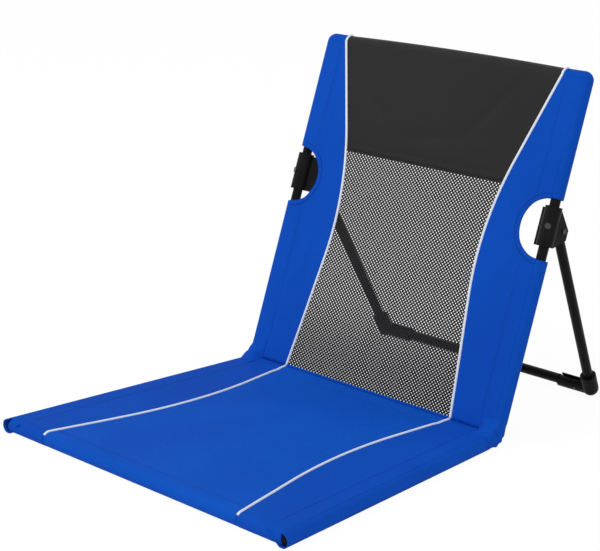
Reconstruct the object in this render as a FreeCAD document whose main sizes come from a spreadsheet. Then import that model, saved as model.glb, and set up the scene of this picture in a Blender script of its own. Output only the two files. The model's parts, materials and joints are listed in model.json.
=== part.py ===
import FreeCAD, Part
import Sketcher
import math
import os
import re

# Folding floor lounger: a cloth seat that lies on the ground, a leaning cloth back and a prop leg frame.
# X runs across the seat, Y from the front edge to the rear, Z up; the origin is under the middle of it all.

Vector = FreeCAD.Vector
Placement = FreeCAD.Placement
Rotation = FreeCAD.Rotation
ACROSS = Vector(1, 0, 0)
ALONG = Vector(0, 1, 0)
NORMAL = Vector(0, 0, 1)

doc = FreeCAD.newDocument("folding_lounger")
sheet = doc.addObject("Spreadsheet::Sheet", "sizes")

# Driving dimensions in millimetres and degrees, each with what it measures
DRIVING = [
    ("tube_diameter", 14.0, "frame tube, outside"),
    ("tube_wall", 1.2, "frame tube wall"),
    ("hinge_half", 230.0, "middle of the seat to a back tube"),
    ("front_half", 263.0, "middle of the seat to a seat tube at the front bar"),
    ("seat_depth", 428.0, "front edge to the line where the seat and back tubes meet"),
    ("back_length", 499.0, "that line to the top edge, along the back"),
    ("back_angle", 70.0, "back above the floor"),
    ("sleeve_radius", 10.2, "cloth sleeve round a tube, outside"),
    ("sleeve_bore_gap", 0.4, "cloth sleeve to its tube"),
    ("hem_bore_gap", 0.3, "hem to the corner elbow inside it"),
    ("sleeve_flat", 0.4, "depth of the flat where a sleeve lies on the floor"),
    ("fold_gap", 0.6, "between seat and back sleeves when folded together"),
    ("hinge_reach", 14.0, "hinge pin to the end of a hinge arm, along its tube"),
    ("hinge_arm_radius", 6.5, "half depth of a hinge arm"),
    ("hinge_width", 13.0, "hinge across its ears"),
    ("hinge_tongue", 4.4, "thickness of the middle ear"),
    ("hinge_pin_radius", 2.5, "hinge pin"),
    ("ear_gap", 0.3, "between ears that turn past each other"),
    ("pin_clearance", 0.05, "running fit round a pin"),
    ("spigot_length", 16.0, "plug inside a tube end"),
    ("bar_pin_half", 176.0, "middle of a cross bar to its end pin"),
    ("bar_pin_radius", 2.0, "cross bar pins"),
    ("bar_lock", 2.5, "middle pin outside the line of the end pins, so the bar locks straight"),
    ("bar_fold_angle", 80.0, "how far each half bar turns"),
    ("knuckle_length", 46.0, "middle fitting of a half bar"),
    ("knuckle_ear_radius", 4.8, "ear round the middle pin"),
    ("knuckle_tongue", 3.6, "thickness of the middle ear of a knuckle"),
    ("knuckle_ear", 2.8, "thickness of an outer ear of a knuckle"),
    ("knuckle_butt_gap", 0.3, "between the two halves when locked"),
    ("trough_reach", 31.0, "end pin to the open end of an elbow trough"),
    ("trough_wall", 2.7, "wall of an elbow trough"),
    ("trough_gap", 0.3, "bar end to its trough"),
    ("bar_tube_gap", 1.5, "bar tube to the open end of a trough, so that it swings clear"),
    ("collar_height", 24.0, "elbow collar up its tube"),
    ("foot_collar_radius", 11.4, "collar of a foot elbow, outside"),
    ("foot_trough_radius", 10.0, "trough of a foot elbow, outside"),
    ("foot_flat", 0.4, "depth of the flat under a foot"),
    ("foot_half", 198.0, "middle to a leg at the foot bar"),
    ("leg_inset", 6.0, "leg pivot inside the back tube"),
    ("foot_reach", 251.0, "hinge line to the foot bar"),
    ("pivot_along", 288.0, "leg pivot, along the back"),
    ("pivot_out", 27.0, "leg pivot behind the back tube"),
    ("pivot_pin_radius", 2.5, "leg pivot pin"),
    ("eye_radius", 7.5, "eye on top of a leg"),
    ("eye_width", 18.0, "eye across the pivot"),
    ("cheek_wall", 2.6, "bracket cheek beside the eye"),
    ("cheek_margin", 9.0, "bracket cheek past the pivot"),
    ("bracket_low", 262.0, "lower end of a bracket, along the back"),
    ("bracket_length", 54.0, "bracket sleeve"),
    ("bracket_radius", 11.5, "bracket sleeve, outside"),
    ("bracket_web", 2.0, "web between the bracket sleeve and its cheeks"),
    ("rivet_radius", 2.2, "rivet through a bracket"),
    ("rivet_head_radius", 4.0, "rivet and pin heads"),
    ("rivet_head", 1.3, "height of those heads"),
    ("rivet_turn", 27.0, "bracket rivet turned outwards from the front"),
    ("cloth", 2.0, "side panels and headrest"),
    ("panel_set_back", 1.0, "front face of the back panels behind the front of the sleeves"),
    ("mesh_cloth", 1.2, "open mesh panel"),
    ("gap_across", 27.0, "pitch of the diamond gaps across the mesh"),
    ("gap_row", 13.0, "between rows of gaps, which are staggered"),
    ("gap_strand", 3.6, "strand of mesh between neighbouring gaps"),
    ("mesh_border", 4.0, "whole cloth round the mesh"),
    ("seat_cloth", 3.0, "doubled seat panel"),
    ("cloth_margin", 0.5, "cloth end beyond a hinge arm"),
    ("cutout_radius", 41.5, "round cut-out at a bracket"),
    ("cutout_along", 284.5, "middle of the cut-out, along the back"),
    ("headrest_seam", 333.5, "headrest to mesh, along the back"),
    ("seam_gap", 0.6, "between panel edges at a seam"),
    ("piping_radius", 1.5, "piping cord"),
    ("piping_gap", 0.4, "piping cord to the panel edges beside it"),
    ("back_piping_foot", 158.0, "middle to the piping at the hinge line"),
    ("back_piping_waist", 124.0, "middle to where the two straight runs of back piping would meet"),
    ("back_piping_waist_along", 271.0, "that meeting, along the back"),
    ("back_piping_top", 201.0, "middle to the piping at the top edge"),
    ("back_piping_bend", 100.0, "waist to where the bend of the back piping starts"),
    ("seat_piping_rear", 158.0, "middle to the seat piping at the hinge line"),
    ("seat_piping_waist", 134.5, "middle to where the two straight runs of seat piping would meet"),
    ("seat_piping_waist_along", 204.0, "that meeting, in front of the hinge line"),
    ("seat_piping_front", 189.0, "middle to the seat piping at the front edge"),
    ("seat_piping_bend", 110.0, "waist to where the bend of the seat piping starts"),
]

# Sizes that follow from the driving ones
DERIVED = [
    ("tube_radius", "tube_diameter / 2"),
    ("tube_bore", "tube_radius - tube_wall"),
    ("seat_axis", "sleeve_radius - sleeve_flat"),
    ("foot_axis", "foot_collar_radius - foot_flat"),
    ("pin_offset", "sleeve_radius + fold_gap / 2"),
    ("pin_set", "pin_offset * tan(back_angle / 2 * 1 deg)"),
    ("arm_end", "pin_set + hinge_reach"),
    ("tube_start", "arm_end + hinge_arm_radius"),
    ("cloth_start", "tube_start + cloth_margin"),
    ("arm_length", "sqrt(hinge_reach * hinge_reach + pin_offset * pin_offset)"),
    ("seat_run", "seat_depth - sleeve_radius"),
    ("seat_flare", "(front_half - hinge_half) / (seat_run - arm_end)"),
    ("seat_stretch", "sqrt(1 + seat_flare * seat_flare)"),
    ("back_run", "back_length - sleeve_radius"),
    ("trough_bore", "tube_bore + trough_gap"),
    ("trough_radius", "trough_bore + trough_wall"),
    ("hem_bore", "trough_radius + hem_bore_gap"),
    ("sleeve_bore", "tube_radius + sleeve_bore_gap"),
    ("knuckle_grip", "knuckle_tongue + 2 * (ear_gap + knuckle_ear)"),
    ("trough_end", "bar_pin_half - trough_reach"),
    ("channel_length", "trough_reach + trough_bore + trough_gap"),
    ("bar_tube_end", "trough_end - bar_tube_gap"),
    ("bar_tube_length", "bar_tube_end - knuckle_length"),
    ("back_cos", "cos(back_angle * 1 deg)"),
    ("back_sin", "sin(back_angle * 1 deg)"),
    ("leg_half_top", "hinge_half - leg_inset"),
    ("leg_run", "foot_reach - pivot_along * back_cos - pivot_out * back_sin"),
    ("leg_rise", "seat_axis + pivot_along * back_sin - pivot_out * back_cos - foot_axis"),
    ("leg_length", "sqrt(leg_run * leg_run + leg_rise * leg_rise)"),
    ("leg_splay", "(leg_half_top - foot_half) / leg_length"),
    ("leg_stretch", "sqrt(1 + leg_splay * leg_splay)"),
    ("leg_neck", "eye_radius + 3 * ear_gap"),
    ("cheek_half", "eye_width / 2 + ear_gap"),
    ("bracket_high", "bracket_low + bracket_length"),
    ("panel_front", "sleeve_radius - panel_set_back"),
    ("panel_back", "panel_front - cloth"),
    ("seat_level", "panel_front - seat_cloth"),
    ("crease_start", "panel_front * tan(back_angle / 2 * 1 deg) + seam_gap"),
    ("seam_half", "piping_radius + piping_gap"),
    ("hem_lap", "sleeve_radius / 2"),
    ("back_seam_slope", "(back_piping_top - back_piping_waist) / (back_length - back_piping_waist_along)"),
    ("back_hem_half", "back_piping_top - back_seam_slope * (sleeve_radius + hem_lap) - seam_half"),
    ("seat_seam_slope", "(seat_piping_front - seat_piping_waist) / (seat_depth - seat_piping_waist_along)"),
    ("seat_hem_half", "seat_piping_front - seat_seam_slope * (sleeve_radius + hem_lap) - seam_half"),
    ("hinge_clear", "hinge_half - hinge_width / 2 - rivet_head - seam_gap"),
]

for row, (alias, value, meaning) in enumerate(DRIVING, start=1):
    sheet.set("A%d" % row, meaning)
    sheet.set("B%d" % row, str(value))
    sheet.setAlias("B%d" % row, alias)
for row, (alias, formula) in enumerate(DERIVED, start=len(DRIVING) + 1):
    sheet.set("A%d" % row, alias.replace("_", " "))
    sheet.set("B%d" % row, "=" + formula)
    sheet.setAlias("B%d" % row, alias)
    doc.recompute()
doc.recompute()


def size(alias):
    """The number in a named cell."""
    return float(sheet.get(alias))


def rule(text):
    """A formula on the names of cells, as an expression on the sheet."""
    return re.sub(r"[a-z_]+", lambda word: "sizes." + word.group(0), text)


# Frames: the seat frame and the back frame start on the hinge line, the leg frame on the foot bar
HINGE_Y = (size("seat_depth") - size("foot_reach") - size("foot_collar_radius")) / 2
LEG_LEAN = math.degrees(math.atan2(size("leg_run"), size("leg_rise")))
SEAT = Placement(Vector(0, HINGE_Y, size("seat_axis")), Rotation())
BACK = Placement(SEAT.Base, Rotation(ACROSS, size("back_angle")))
LEG = Placement(Vector(0, HINGE_Y + size("foot_reach"), size("foot_axis")), Rotation(ACROSS, 90 + LEG_LEAN))
FRONT_BAR = Placement(SEAT.multVec(Vector(0, -size("seat_run"), 0)), Rotation())
TOP_BAR = Placement(BACK.multVec(Vector(0, size("back_run"), 0)), Rotation(ACROSS, size("back_angle") + 180))
FOOT_BAR = LEG
HINGE_PIN = Placement(SEAT.multVec(Vector(0, -size("pin_set"), size("pin_offset"))), Rotation())

SEAT_TUBE_WAY = Vector(-size("seat_flare"), 1, 0).normalize()
LEG_WAY = Vector(size("leg_splay"), 1, 0).normalize()

nodes = {}


def rod(name, radius, length, base, way):
    """Round bar of a radius and length from a base point along a direction."""
    bar = doc.addObject("Part::Cylinder", name)
    bar.setExpression("Radius", rule(radius))
    bar.setExpression("Height", rule(length))
    bar.Placement = Placement(base, Rotation(NORMAL, way))
    return bar


def ball(name, radius, centre):
    """Sphere about a point."""
    sphere = doc.addObject("Part::Sphere", name)
    sphere.setExpression("Radius", rule(radius))
    sphere.Placement = Placement(centre, Rotation())
    return sphere


def block(name, length, width, height, middle):
    """Box of a length, width and height about a middle point."""
    box = doc.addObject("Part::Box", name)
    box.setExpression("Length", rule(length))
    box.setExpression("Width", rule(width))
    box.setExpression("Height", rule(height))
    doc.recompute()
    half = Vector(box.Length.Value, box.Width.Value, box.Height.Value) / 2
    box.Placement = Placement(middle - half, Rotation())
    return box


def fuse(name, pieces):
    """One solid from several that meet."""
    whole = doc.addObject("Part::MultiFuse", name)
    whole.Shapes = pieces
    whole.Refine = True
    return whole


def cut(name, base, tools):
    """A solid less a list of others."""
    result = doc.addObject("Part::Cut", name)
    result.Base = base
    result.Tool = tools[0] if len(tools) == 1 else fuse(name + "_tools", tools)
    result.Refine = True
    return result


def plate(name, edges, thickness, base=Vector(0, 0, 0), turn=Rotation()):
    """A closed outline of lines and arcs, thickened from its own plane."""
    outline = doc.addObject("Sketcher::SketchObject", name + "_outline")
    outline.addGeometry(edges, False)
    outline.Placement = Placement(base, turn)
    slab = doc.addObject("Part::Extrusion", name)
    slab.Base = outline
    slab.DirMode = "Normal"
    slab.setExpression("LengthFwd", rule(thickness))
    slab.Solid = True
    return slab


def lines(points):
    """Straight lines from each point to the next."""
    return [Part.LineSegment(a, b) for a, b in zip(points, points[1:])]


def polygon(points):
    """Closed outline of straight lines through points."""
    return lines(points + points[:1])


def keep(label, piece, frame=Placement()):
    """Name a finished sub-part and put it into its frame."""
    piece.Label = label
    piece.Placement = frame.multiply(piece.Placement)
    nodes[label] = piece
    return piece


def keep_pair(label, piece, frame=Placement()):
    """A right-hand sub-part and its mirror image on the left."""
    right = keep(label + "_right", piece, frame)
    left = doc.addObject("Part::Mirroring", label + "_mirror")
    left.Source = right
    left.Normal = ACROSS
    return keep(label + "_left", left)


def hollow_tube(name, length):
    """Frame tube as a padded ring, along its own Z axis."""
    body = doc.addObject("PartDesign::Body", name)
    ring = body.newObject("Sketcher::SketchObject", name + "_ring")
    planes = {plane.Role: plane for plane in body.Origin.OriginFeatures}
    ring.AttachmentSupport = [(planes["XY_Plane"], "")]
    ring.MapMode = "FlatFace"
    for index, radius in enumerate(("tube_radius", "tube_bore")):
        ring.addGeometry(Part.Circle(Vector(0, 0, 0), NORMAL, size(radius)), False)
        ring.addConstraint(Sketcher.Constraint("Coincident", index, 3, -1, 1))
        ring.addConstraint(Sketcher.Constraint("Radius", index, size(radius)))
        ring.setExpression("Constraints[%d]" % (2 * index + 1), rule(radius))
    pad = body.newObject("PartDesign::Pad", name + "_pad")
    pad.Profile = ring
    pad.setExpression("Length", rule(length))
    return body


def frame_tube(label, length, base, way, frame):
    """A pair of frame tubes from a base point along a direction."""
    body = hollow_tube(label + "_body", length)
    body.Placement = Placement(base, Rotation(NORMAL, way))
    keep_pair(label, body, frame)


# Frame tubes
frame_tube("seat_tube", "(seat_run - tube_start) * seat_stretch",
           Vector(size("front_half"), -size("seat_run"), 0), SEAT_TUBE_WAY, SEAT)
frame_tube("back_tube", "back_run - tube_start",
           Vector(size("hinge_half"), size("tube_start"), 0), ALONG, BACK)
frame_tube("leg_tube", "leg_length * leg_stretch - leg_neck", Vector(size("foot_half"), 0, 0), LEG_WAY, LEG)


def hinge_knuckle(name, middle_ear, tube_way):
    """
    Hinge arm from the pin, at the origin, down to the end of a tube that runs along +Y.
    One of the pair has the middle ear and the other has the two outer ears.
    """
    reach = size("hinge_reach")
    drop = size("pin_offset")
    width = size("hinge_width")
    ear_pin = "hinge_pin_radius + pin_clearance" if middle_ear else "hinge_pin_radius"
    tube_end = Vector(0, reach, -drop)
    left = Vector(-width / 2, 0, 0)
    eye = rod(name + "_eye", "hinge_arm_radius", "hinge_width", left, ACROSS)
    heel = rod(name + "_heel", "hinge_arm_radius", "hinge_width", left + tube_end, ACROSS)
    slope = Rotation(ACROSS, math.degrees(math.atan2(-drop, reach)))
    arm = block(name + "_arm", "hinge_width", "arm_length", "2 * hinge_arm_radius", Vector(0, 0, 0))
    arm.Placement = Placement(tube_end / 2, slope).multiply(arm.Placement)
    spigot = rod(name + "_spigot", "tube_bore", "hinge_arm_radius + spigot_length", tube_end, tube_way)
    solid = fuse(name + "_solid", [eye, heel, arm, spigot])
    sweep = "hinge_arm_radius * arm_length / pin_offset + ear_gap"
    hole = rod(name + "_hole", ear_pin, "2 * hinge_width", Vector(-width, 0, 0), ACROSS)
    if middle_ear:
        side = "(hinge_width - hinge_tongue) / 2"
        starts = (Vector(size("hinge_tongue") / 2, 0, 0), Vector(-width / 2, 0, 0))
        slots = [rod(name + "_side%d" % index, sweep, side, start, ACROSS)
                 for index, start in enumerate(starts)]
    else:
        half_slot = size("hinge_tongue") / 2 + size("ear_gap")
        slots = [rod(name + "_slot", sweep, "hinge_tongue + 2 * ear_gap", Vector(-half_slot, 0, 0), ACROSS)]
    return cut(name, solid, [hole] + slots)


# Seat and back hinges; the seat arm points forwards, so it is turned half round
HALF_TURN = Rotation(NORMAL, 180)
hinge_place = Placement(Vector(size("hinge_half"), 0, 0), Rotation())
hinge_rise = Placement(Vector(size("hinge_half"), size("pin_set"), size("pin_offset")), Rotation())
seat_spigot_way = HALF_TURN.inverted().multVec(SEAT_TUBE_WAY * -1)
keep_pair("seat_hinge", hinge_knuckle("seat_knuckle", False, seat_spigot_way),
          HINGE_PIN.multiply(hinge_place).multiply(Placement(Vector(), HALF_TURN)))
keep_pair("back_hinge", hinge_knuckle("back_knuckle", True, ALONG), BACK.multiply(hinge_rise))


def elbow(name, tube_half, tube_way, trough_radius, collar_radius):
    """
    Right-hand corner elbow in the frame of its cross bar: a round trough open inwards, along +Y,
    that holds the bar end on a pin, and a collar that takes the side tube.
    """
    corner = Vector(size(tube_half), 0, 0)
    start = Vector(size("trough_end"), 0, 0)
    pin = Vector(size("bar_pin_half"), 0, 0)
    trough = rod(name + "_trough", trough_radius, tube_half + " - trough_end", start, ACROSS)
    collar = rod(name + "_collar", collar_radius, "collar_height", corner, tube_way)
    heel = ball(name + "_heel", collar_radius, corner)
    solid = fuse(name + "_solid", [trough, collar, heel])
    channel = rod(name + "_channel", "trough_bore", "channel_length", start, ACROSS)
    slot_middle = start + Vector(size("channel_length") / 2, size("foot_collar_radius"), 0)
    slot = block(name + "_slot", "channel_length", "2 * foot_collar_radius", "2 * trough_bore", slot_middle)
    socket = rod(name + "_socket", "tube_radius", "2 * collar_height", corner, tube_way)
    pin_hole = rod(name + "_pin_hole", "bar_pin_radius", "4 * foot_collar_radius",
                   pin - NORMAL * 2 * size("foot_collar_radius"), NORMAL)
    return cut(name, solid, [channel, slot, socket, pin_hole])


def floor_cut(name, piece, frame):
    """A sub-part in a frame, flattened where it would reach below the floor."""
    piece.Placement = frame
    below = block(name + "_below", "4 * front_half", "4 * seat_depth", "2 * seat_axis",
                  Vector(0, 0, -size("seat_axis")))
    return cut(name, piece, [below])


front_elbow = elbow("front_corner", "front_half", SEAT_TUBE_WAY, "trough_radius", "trough_radius")
keep_pair("front_elbow", front_elbow, FRONT_BAR)
keep_pair("top_elbow", elbow("top_corner", "hinge_half", ALONG, "trough_radius", "trough_radius"), TOP_BAR)
foot_elbow = elbow("foot_corner", "foot_half", LEG_WAY, "foot_trough_radius", "foot_collar_radius")
keep_pair("foot_elbow", floor_cut("foot_corner_flat", foot_elbow, LEG))


def knuckle_half(name, middle_ear):
    """
    Middle fitting of a right half bar: a tapered head on a spigot, with ears round the middle pin.
    The outer side is cut to a slope, so that the two halves lie side by side when folded.
    """
    long = size("knuckle_length")
    lock = size("bar_lock")
    ear = size("knuckle_ear_radius")
    thick = size("knuckle_tongue")
    radius = size("tube_radius")
    butt = Vector(size("knuckle_butt_gap") / 2, 0, 0)
    pin = Vector(0, -lock, 0)
    head = rod(name + "_head", "tube_radius", "knuckle_length - knuckle_butt_gap / 2", butt, ACROSS)
    spigot = rod(name + "_spigot", "tube_bore", "spigot_length", Vector(long, 0, 0), ACROSS)
    solid = fuse(name + "_solid", [head, spigot])
    fold_slope = math.tan(math.radians(90 - size("bar_fold_angle")))
    far = 2 * radius
    inner = lock - size("ear_gap") / 2
    outer_side = [Vector(-ear, -inner, 0), Vector(-ear, -far, 0), Vector(long, -far, 0),
                  Vector(long, -inner - long * fold_slope, 0), Vector(0, -inner, 0)]
    wedge = plate(name + "_wedge", polygon(outer_side), "4 * tube_radius", Vector(0, 0, -2 * radius))
    sweep = "knuckle_ear_radius + ear_gap"
    if middle_ear:
        bites = [rod(name + "_bite%d" % side, sweep, "tube_radius", pin + NORMAL * side * thick / 2,
                     NORMAL * side)
                 for side in (1, -1)]
        ears = [rod(name + "_ear", "knuckle_ear_radius", "knuckle_tongue", pin - NORMAL * thick / 2, NORMAL)]
        hole_radius = "bar_pin_radius + pin_clearance"
    else:
        gap = thick / 2 + size("ear_gap")
        bites = [rod(name + "_bite", sweep, "knuckle_tongue + 2 * ear_gap", pin - NORMAL * gap, NORMAL)]
        ears = [rod(name + "_ear%d" % side, "knuckle_ear_radius", "knuckle_ear", pin + NORMAL * side * gap,
                    NORMAL * side)
                for side in (1, -1)]
        hole_radius = "bar_pin_radius"
    shaped = cut(name + "_shaped", solid, [wedge] + bites)
    hole = rod(name + "_hole", hole_radius, "4 * tube_radius", pin - NORMAL * 2 * radius, NORMAL)
    return cut(name, fuse(name + "_eared", [shaped] + ears), [hole])


def cross_bar(label, frame):
    """Folding cross bar: two half tubes, round-nosed end plugs and a locking knuckle in the middle."""
    tube = hollow_tube(label + "_tube_body", "bar_tube_length")
    tube.Placement = Placement(Vector(size("knuckle_length"), 0, 0), Rotation(NORMAL, ACROSS))
    keep_pair(label + "_tube", tube, frame)
    pin = Vector(size("bar_pin_half"), 0, 0)
    nose = ball(label + "_nose", "tube_bore", pin)
    plug = rod(label + "_plug", "tube_bore", "bar_pin_half - bar_tube_end + spigot_length", pin, ACROSS * -1)
    hole = rod(label + "_plug_hole", "bar_pin_radius + pin_clearance", "4 * tube_radius",
               pin - NORMAL * 2 * size("tube_radius"), NORMAL)
    keep_pair(label + "_end", cut(label + "_end", fuse(label + "_plug_nose", [nose, plug]), [hole]), frame)
    keep(label + "_tongue", knuckle_half(label + "_tongue", True), frame)
    clevis = doc.addObject("Part::Mirroring", label + "_clevis_mirror")
    clevis.Source = knuckle_half(label + "_clevis_half", False)
    clevis.Normal = ACROSS
    keep(label + "_clevis", clevis, frame)
    middle_pin = rod(label + "_middle_pin", "bar_pin_radius", "knuckle_grip",
                     Vector(0, -size("bar_lock"), -size("knuckle_grip") / 2), NORMAL)
    keep(label + "_pin", middle_pin, frame)


cross_bar("front_bar", FRONT_BAR)
cross_bar("top_bar", TOP_BAR)
cross_bar("foot_bar", FOOT_BAR)


RIVET_TURN = math.radians(size("rivet_turn"))
RIVET_WAY = Vector(math.sin(RIVET_TURN), 0, math.cos(RIVET_TURN))


def bracket():
    """Moulded bracket: a sleeve riveted to the back tube, with two cheeks behind it for the leg eye."""
    low = size("bracket_low")
    high = size("bracket_high")
    along = size("pivot_along")
    rear = -size("pivot_out") - size("cheek_margin")
    half = size("cheek_half")
    radius = size("bracket_radius")
    wall = size("cheek_wall")
    middle = size("leg_half_top")
    tube = Vector(size("hinge_half"), 0, 0)
    sleeve = rod("bracket_sleeve", "bracket_radius", "bracket_length", tube + ALONG * low, ALONG)
    # Cheek outline in along-and-rear coordinates, drawn on the plane across X
    side_view = Rotation(Vector(0, 1, 0), Vector(0, 0, 1), ACROSS, "ZXY")
    cheek = [Vector(low, 0, 0), Vector(high - wall, 0, 0), Vector(high - wall, -radius, 0),
             Vector(along + wall, rear, 0), Vector(along - radius, rear, 0), Vector(low, -radius, 0)]
    wing = plate("bracket_wing", polygon(cheek), "2 * (cheek_half + cheek_wall)",
                 Vector(middle - half - wall, 0, 0), side_view)
    bridge_middle = Vector((middle + tube.x) / 2, (low + high - wall) / 2, -radius / 2)
    bridge = block("bracket_bridge", "leg_inset + cheek_wall", "bracket_length - cheek_wall",
                   "bracket_radius", bridge_middle)
    solid = fuse("bracket_solid", [sleeve, wing, bridge])
    web = -radius - size("bracket_web")
    channel = block("bracket_channel", "2 * cheek_half", "2 * bracket_length",
                    "2 * (pivot_out + cheek_margin)", Vector(middle, (low + high) / 2, web + rear))
    bore = rod("bracket_bore", "tube_radius", "3 * bracket_length",
               tube + ALONG * (low - size("bracket_length")), ALONG)
    pin_hole = rod("bracket_pin_hole", "pivot_pin_radius", "4 * eye_width",
                   Vector(middle - 2 * size("eye_width"), along, -size("pivot_out")), ACROSS)
    rivet_hole = rod("bracket_rivet_hole", "rivet_radius", "2 * bracket_radius",
                     tube + ALONG * (low + high) / 2, RIVET_WAY)
    return cut("bracket_body", solid, [channel, bore, pin_hole, rivet_hole])


keep_pair("leg_bracket", bracket(), BACK)


def leg_eye():
    """Eye on top of a leg: a cross barrel on the pivot, with a neck and a spigot in the leg tube."""
    pivot = Vector(size("leg_half_top"), size("leg_length"), 0)
    down = LEG_WAY * -1
    barrel = rod("eye_barrel", "eye_radius", "eye_width", pivot - ACROSS * size("eye_width") / 2, ACROSS)
    neck = rod("eye_neck", "tube_radius", "leg_neck", pivot, down)
    spigot = rod("eye_spigot", "tube_bore", "leg_neck + spigot_length", pivot, down)
    hole = rod("eye_hole", "pivot_pin_radius + pin_clearance", "2 * eye_width",
               pivot - ACROSS * size("eye_width"), ACROSS)
    return cut("eye_body", fuse("eye_solid", [barrel, neck, spigot]), [hole])


keep_pair("leg_eye", leg_eye(), LEG)


def headed_pin(name, radius, length, base, way):
    """Pin with a flat round head at each end; the base is the foot of its plain length."""
    shank = rod(name + "_shank", radius, length, base, way)
    first = rod(name + "_first", "rivet_head_radius", "rivet_head", base, way * -1)
    doc.recompute()
    second = rod(name + "_second", "rivet_head_radius", "rivet_head", base + way * shank.Height.Value, way)
    return fuse(name, [shank, first, second])


def pin_group(label, frame_pins):
    """Pins and rivets of one moving frame, as a group of separate solids."""
    group = doc.addObject("Part::Compound", label + "_group")
    group.Links = frame_pins
    keep_pair(label, group)


def placed(piece, frame):
    """A piece moved from its own frame into the common one."""
    piece.Placement = frame.multiply(piece.Placement)
    return piece


def elbow_pin(name, radius, frame):
    """Pin of an elbow, flush with the sides of its trough."""
    foot = Vector(size("bar_pin_half"), 0, -size(radius))
    return placed(rod(name, "bar_pin_radius", "2 * " + radius, foot, NORMAL), frame)


hinge_half_width = ACROSS * size("hinge_width") / 2
hinge_pin = headed_pin("hinge_pin", "hinge_pin_radius", "hinge_width",
                       hinge_place.Base - hinge_half_width, ACROSS)
pin_group("seat_pins", [placed(hinge_pin, HINGE_PIN),
                        elbow_pin("front_elbow_pin", "trough_radius", FRONT_BAR)])

cheek_outside = size("cheek_half") + size("cheek_wall")
pivot_foot = Vector(size("leg_half_top") - cheek_outside, size("pivot_along"), -size("pivot_out"))
pivot_pin = headed_pin("pivot_pin", "pivot_pin_radius", "2 * (cheek_half + cheek_wall)", pivot_foot, ACROSS)
rivet_foot = Vector(size("hinge_half"), (size("bracket_low") + size("bracket_high")) / 2, 0)
rivet_shank = rod("rivet_shank", "rivet_radius", "bracket_radius - tube_radius",
                  rivet_foot + RIVET_WAY * size("tube_radius"), RIVET_WAY)
rivet_head = rod("rivet_dome", "rivet_head_radius", "rivet_head",
                 rivet_foot + RIVET_WAY * size("bracket_radius"), RIVET_WAY)
bracket_rivet = fuse("bracket_rivet", [rivet_shank, rivet_head])
pin_group("back_pins", [placed(pivot_pin, BACK), placed(bracket_rivet, BACK),
                        elbow_pin("top_elbow_pin", "trough_radius", TOP_BAR)])
pin_group("leg_pins", [elbow_pin("foot_elbow_pin", "foot_trough_radius", LEG)])


class Seam:
    """
    Hourglass seam beside the middle of a panel: two straight runs joined by a tangent arc.
    Names of cells give its distance from the middle at the hinge line, at the waist and at the far edge.
    """

    def __init__(self, panel, foot, top, far_edge, way):
        self.foot = size(panel + foot)
        self.waist = size(panel + "_waist")
        self.waist_along = size(panel + "_waist_along")
        self.top = size(panel + top)
        self.top_along = size(far_edge)
        self.bend = size(panel + "_bend")
        self.way = way

    def at(self, along, shift):
        """Point on the straight runs at a distance along the panel, moved across by a shift."""
        low_slope = (self.waist - self.foot) / self.waist_along
        high_slope = (self.top - self.waist) / (self.top_along - self.waist_along)
        slope = low_slope if along < self.waist_along else high_slope
        return Vector(self.waist + slope * (along - self.waist_along) + shift, self.way * along, 0)

    def width(self, along):
        """Distance of the seam from the middle, without the rounding of the waist, which only widens it."""
        return self.at(along, 0).x

    def edges(self, start, end, shift):
        """The seam from a start to an end, in order, as a line, an arc and a line."""
        corner = self.at(self.waist_along, shift)
        into = (corner - self.at(0, shift)).normalize()
        out = (self.at(self.top_along, shift) - corner).normalize()
        enter = corner - into * self.bend
        leave = corner + out * self.bend
        inward = (out - into).normalize()
        middle = corner + inward * self.bend * math.tan(into.getAngle(out) / 4)
        return [Part.LineSegment(self.at(start, shift), enter), Part.Arc(enter, middle, leave),
                Part.LineSegment(leave, self.at(end, shift))]


def mirrored(edges):
    """Lines and arcs on the other side of the middle."""
    flipped = []
    for edge in edges:
        copy = edge.copy()
        copy.mirror(Vector(0, 0, 0), ALONG)
        flipped.append(copy)
    return flipped


BACK_SEAM = Seam("back_piping", "_foot", "_top", "back_length", 1)
SEAT_SEAM = Seam("seat_piping", "_rear", "_front", "seat_depth", -1)


def side_panel(name, seam, far, near_tube, far_tube, thickness, level):
    """Flat cloth from the crease on, between a seam and the tube beside it, stepped in past the hinge."""
    start = seam.way * size("cloth_start")
    inside = size("hinge_clear")
    line = seam.edges(size("crease_start"), far - size("hem_lap"), size("seam_half"))
    points = [line[-1].EndPoint, Vector(far_tube, line[-1].EndPoint.y, 0), Vector(near_tube, start, 0),
              Vector(inside, start, 0), Vector(inside, line[0].StartPoint.y, 0), line[0].StartPoint]
    return plate(name, line + lines(points), thickness, NORMAL * level)


def middle_panel(name, seam, far, thickness, level, gaps=()):
    """Flat cloth between the two seams of a panel, with closed outlines of gaps in it."""
    line = seam.edges(size("crease_start"), far, -size("seam_half"))
    other = mirrored(line)
    ends = [Part.LineSegment(line[-1].EndPoint, other[-1].EndPoint),
            Part.LineSegment(line[0].StartPoint, other[0].StartPoint)]
    return plate(name, line + other + ends + list(gaps), thickness, NORMAL * level)


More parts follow.
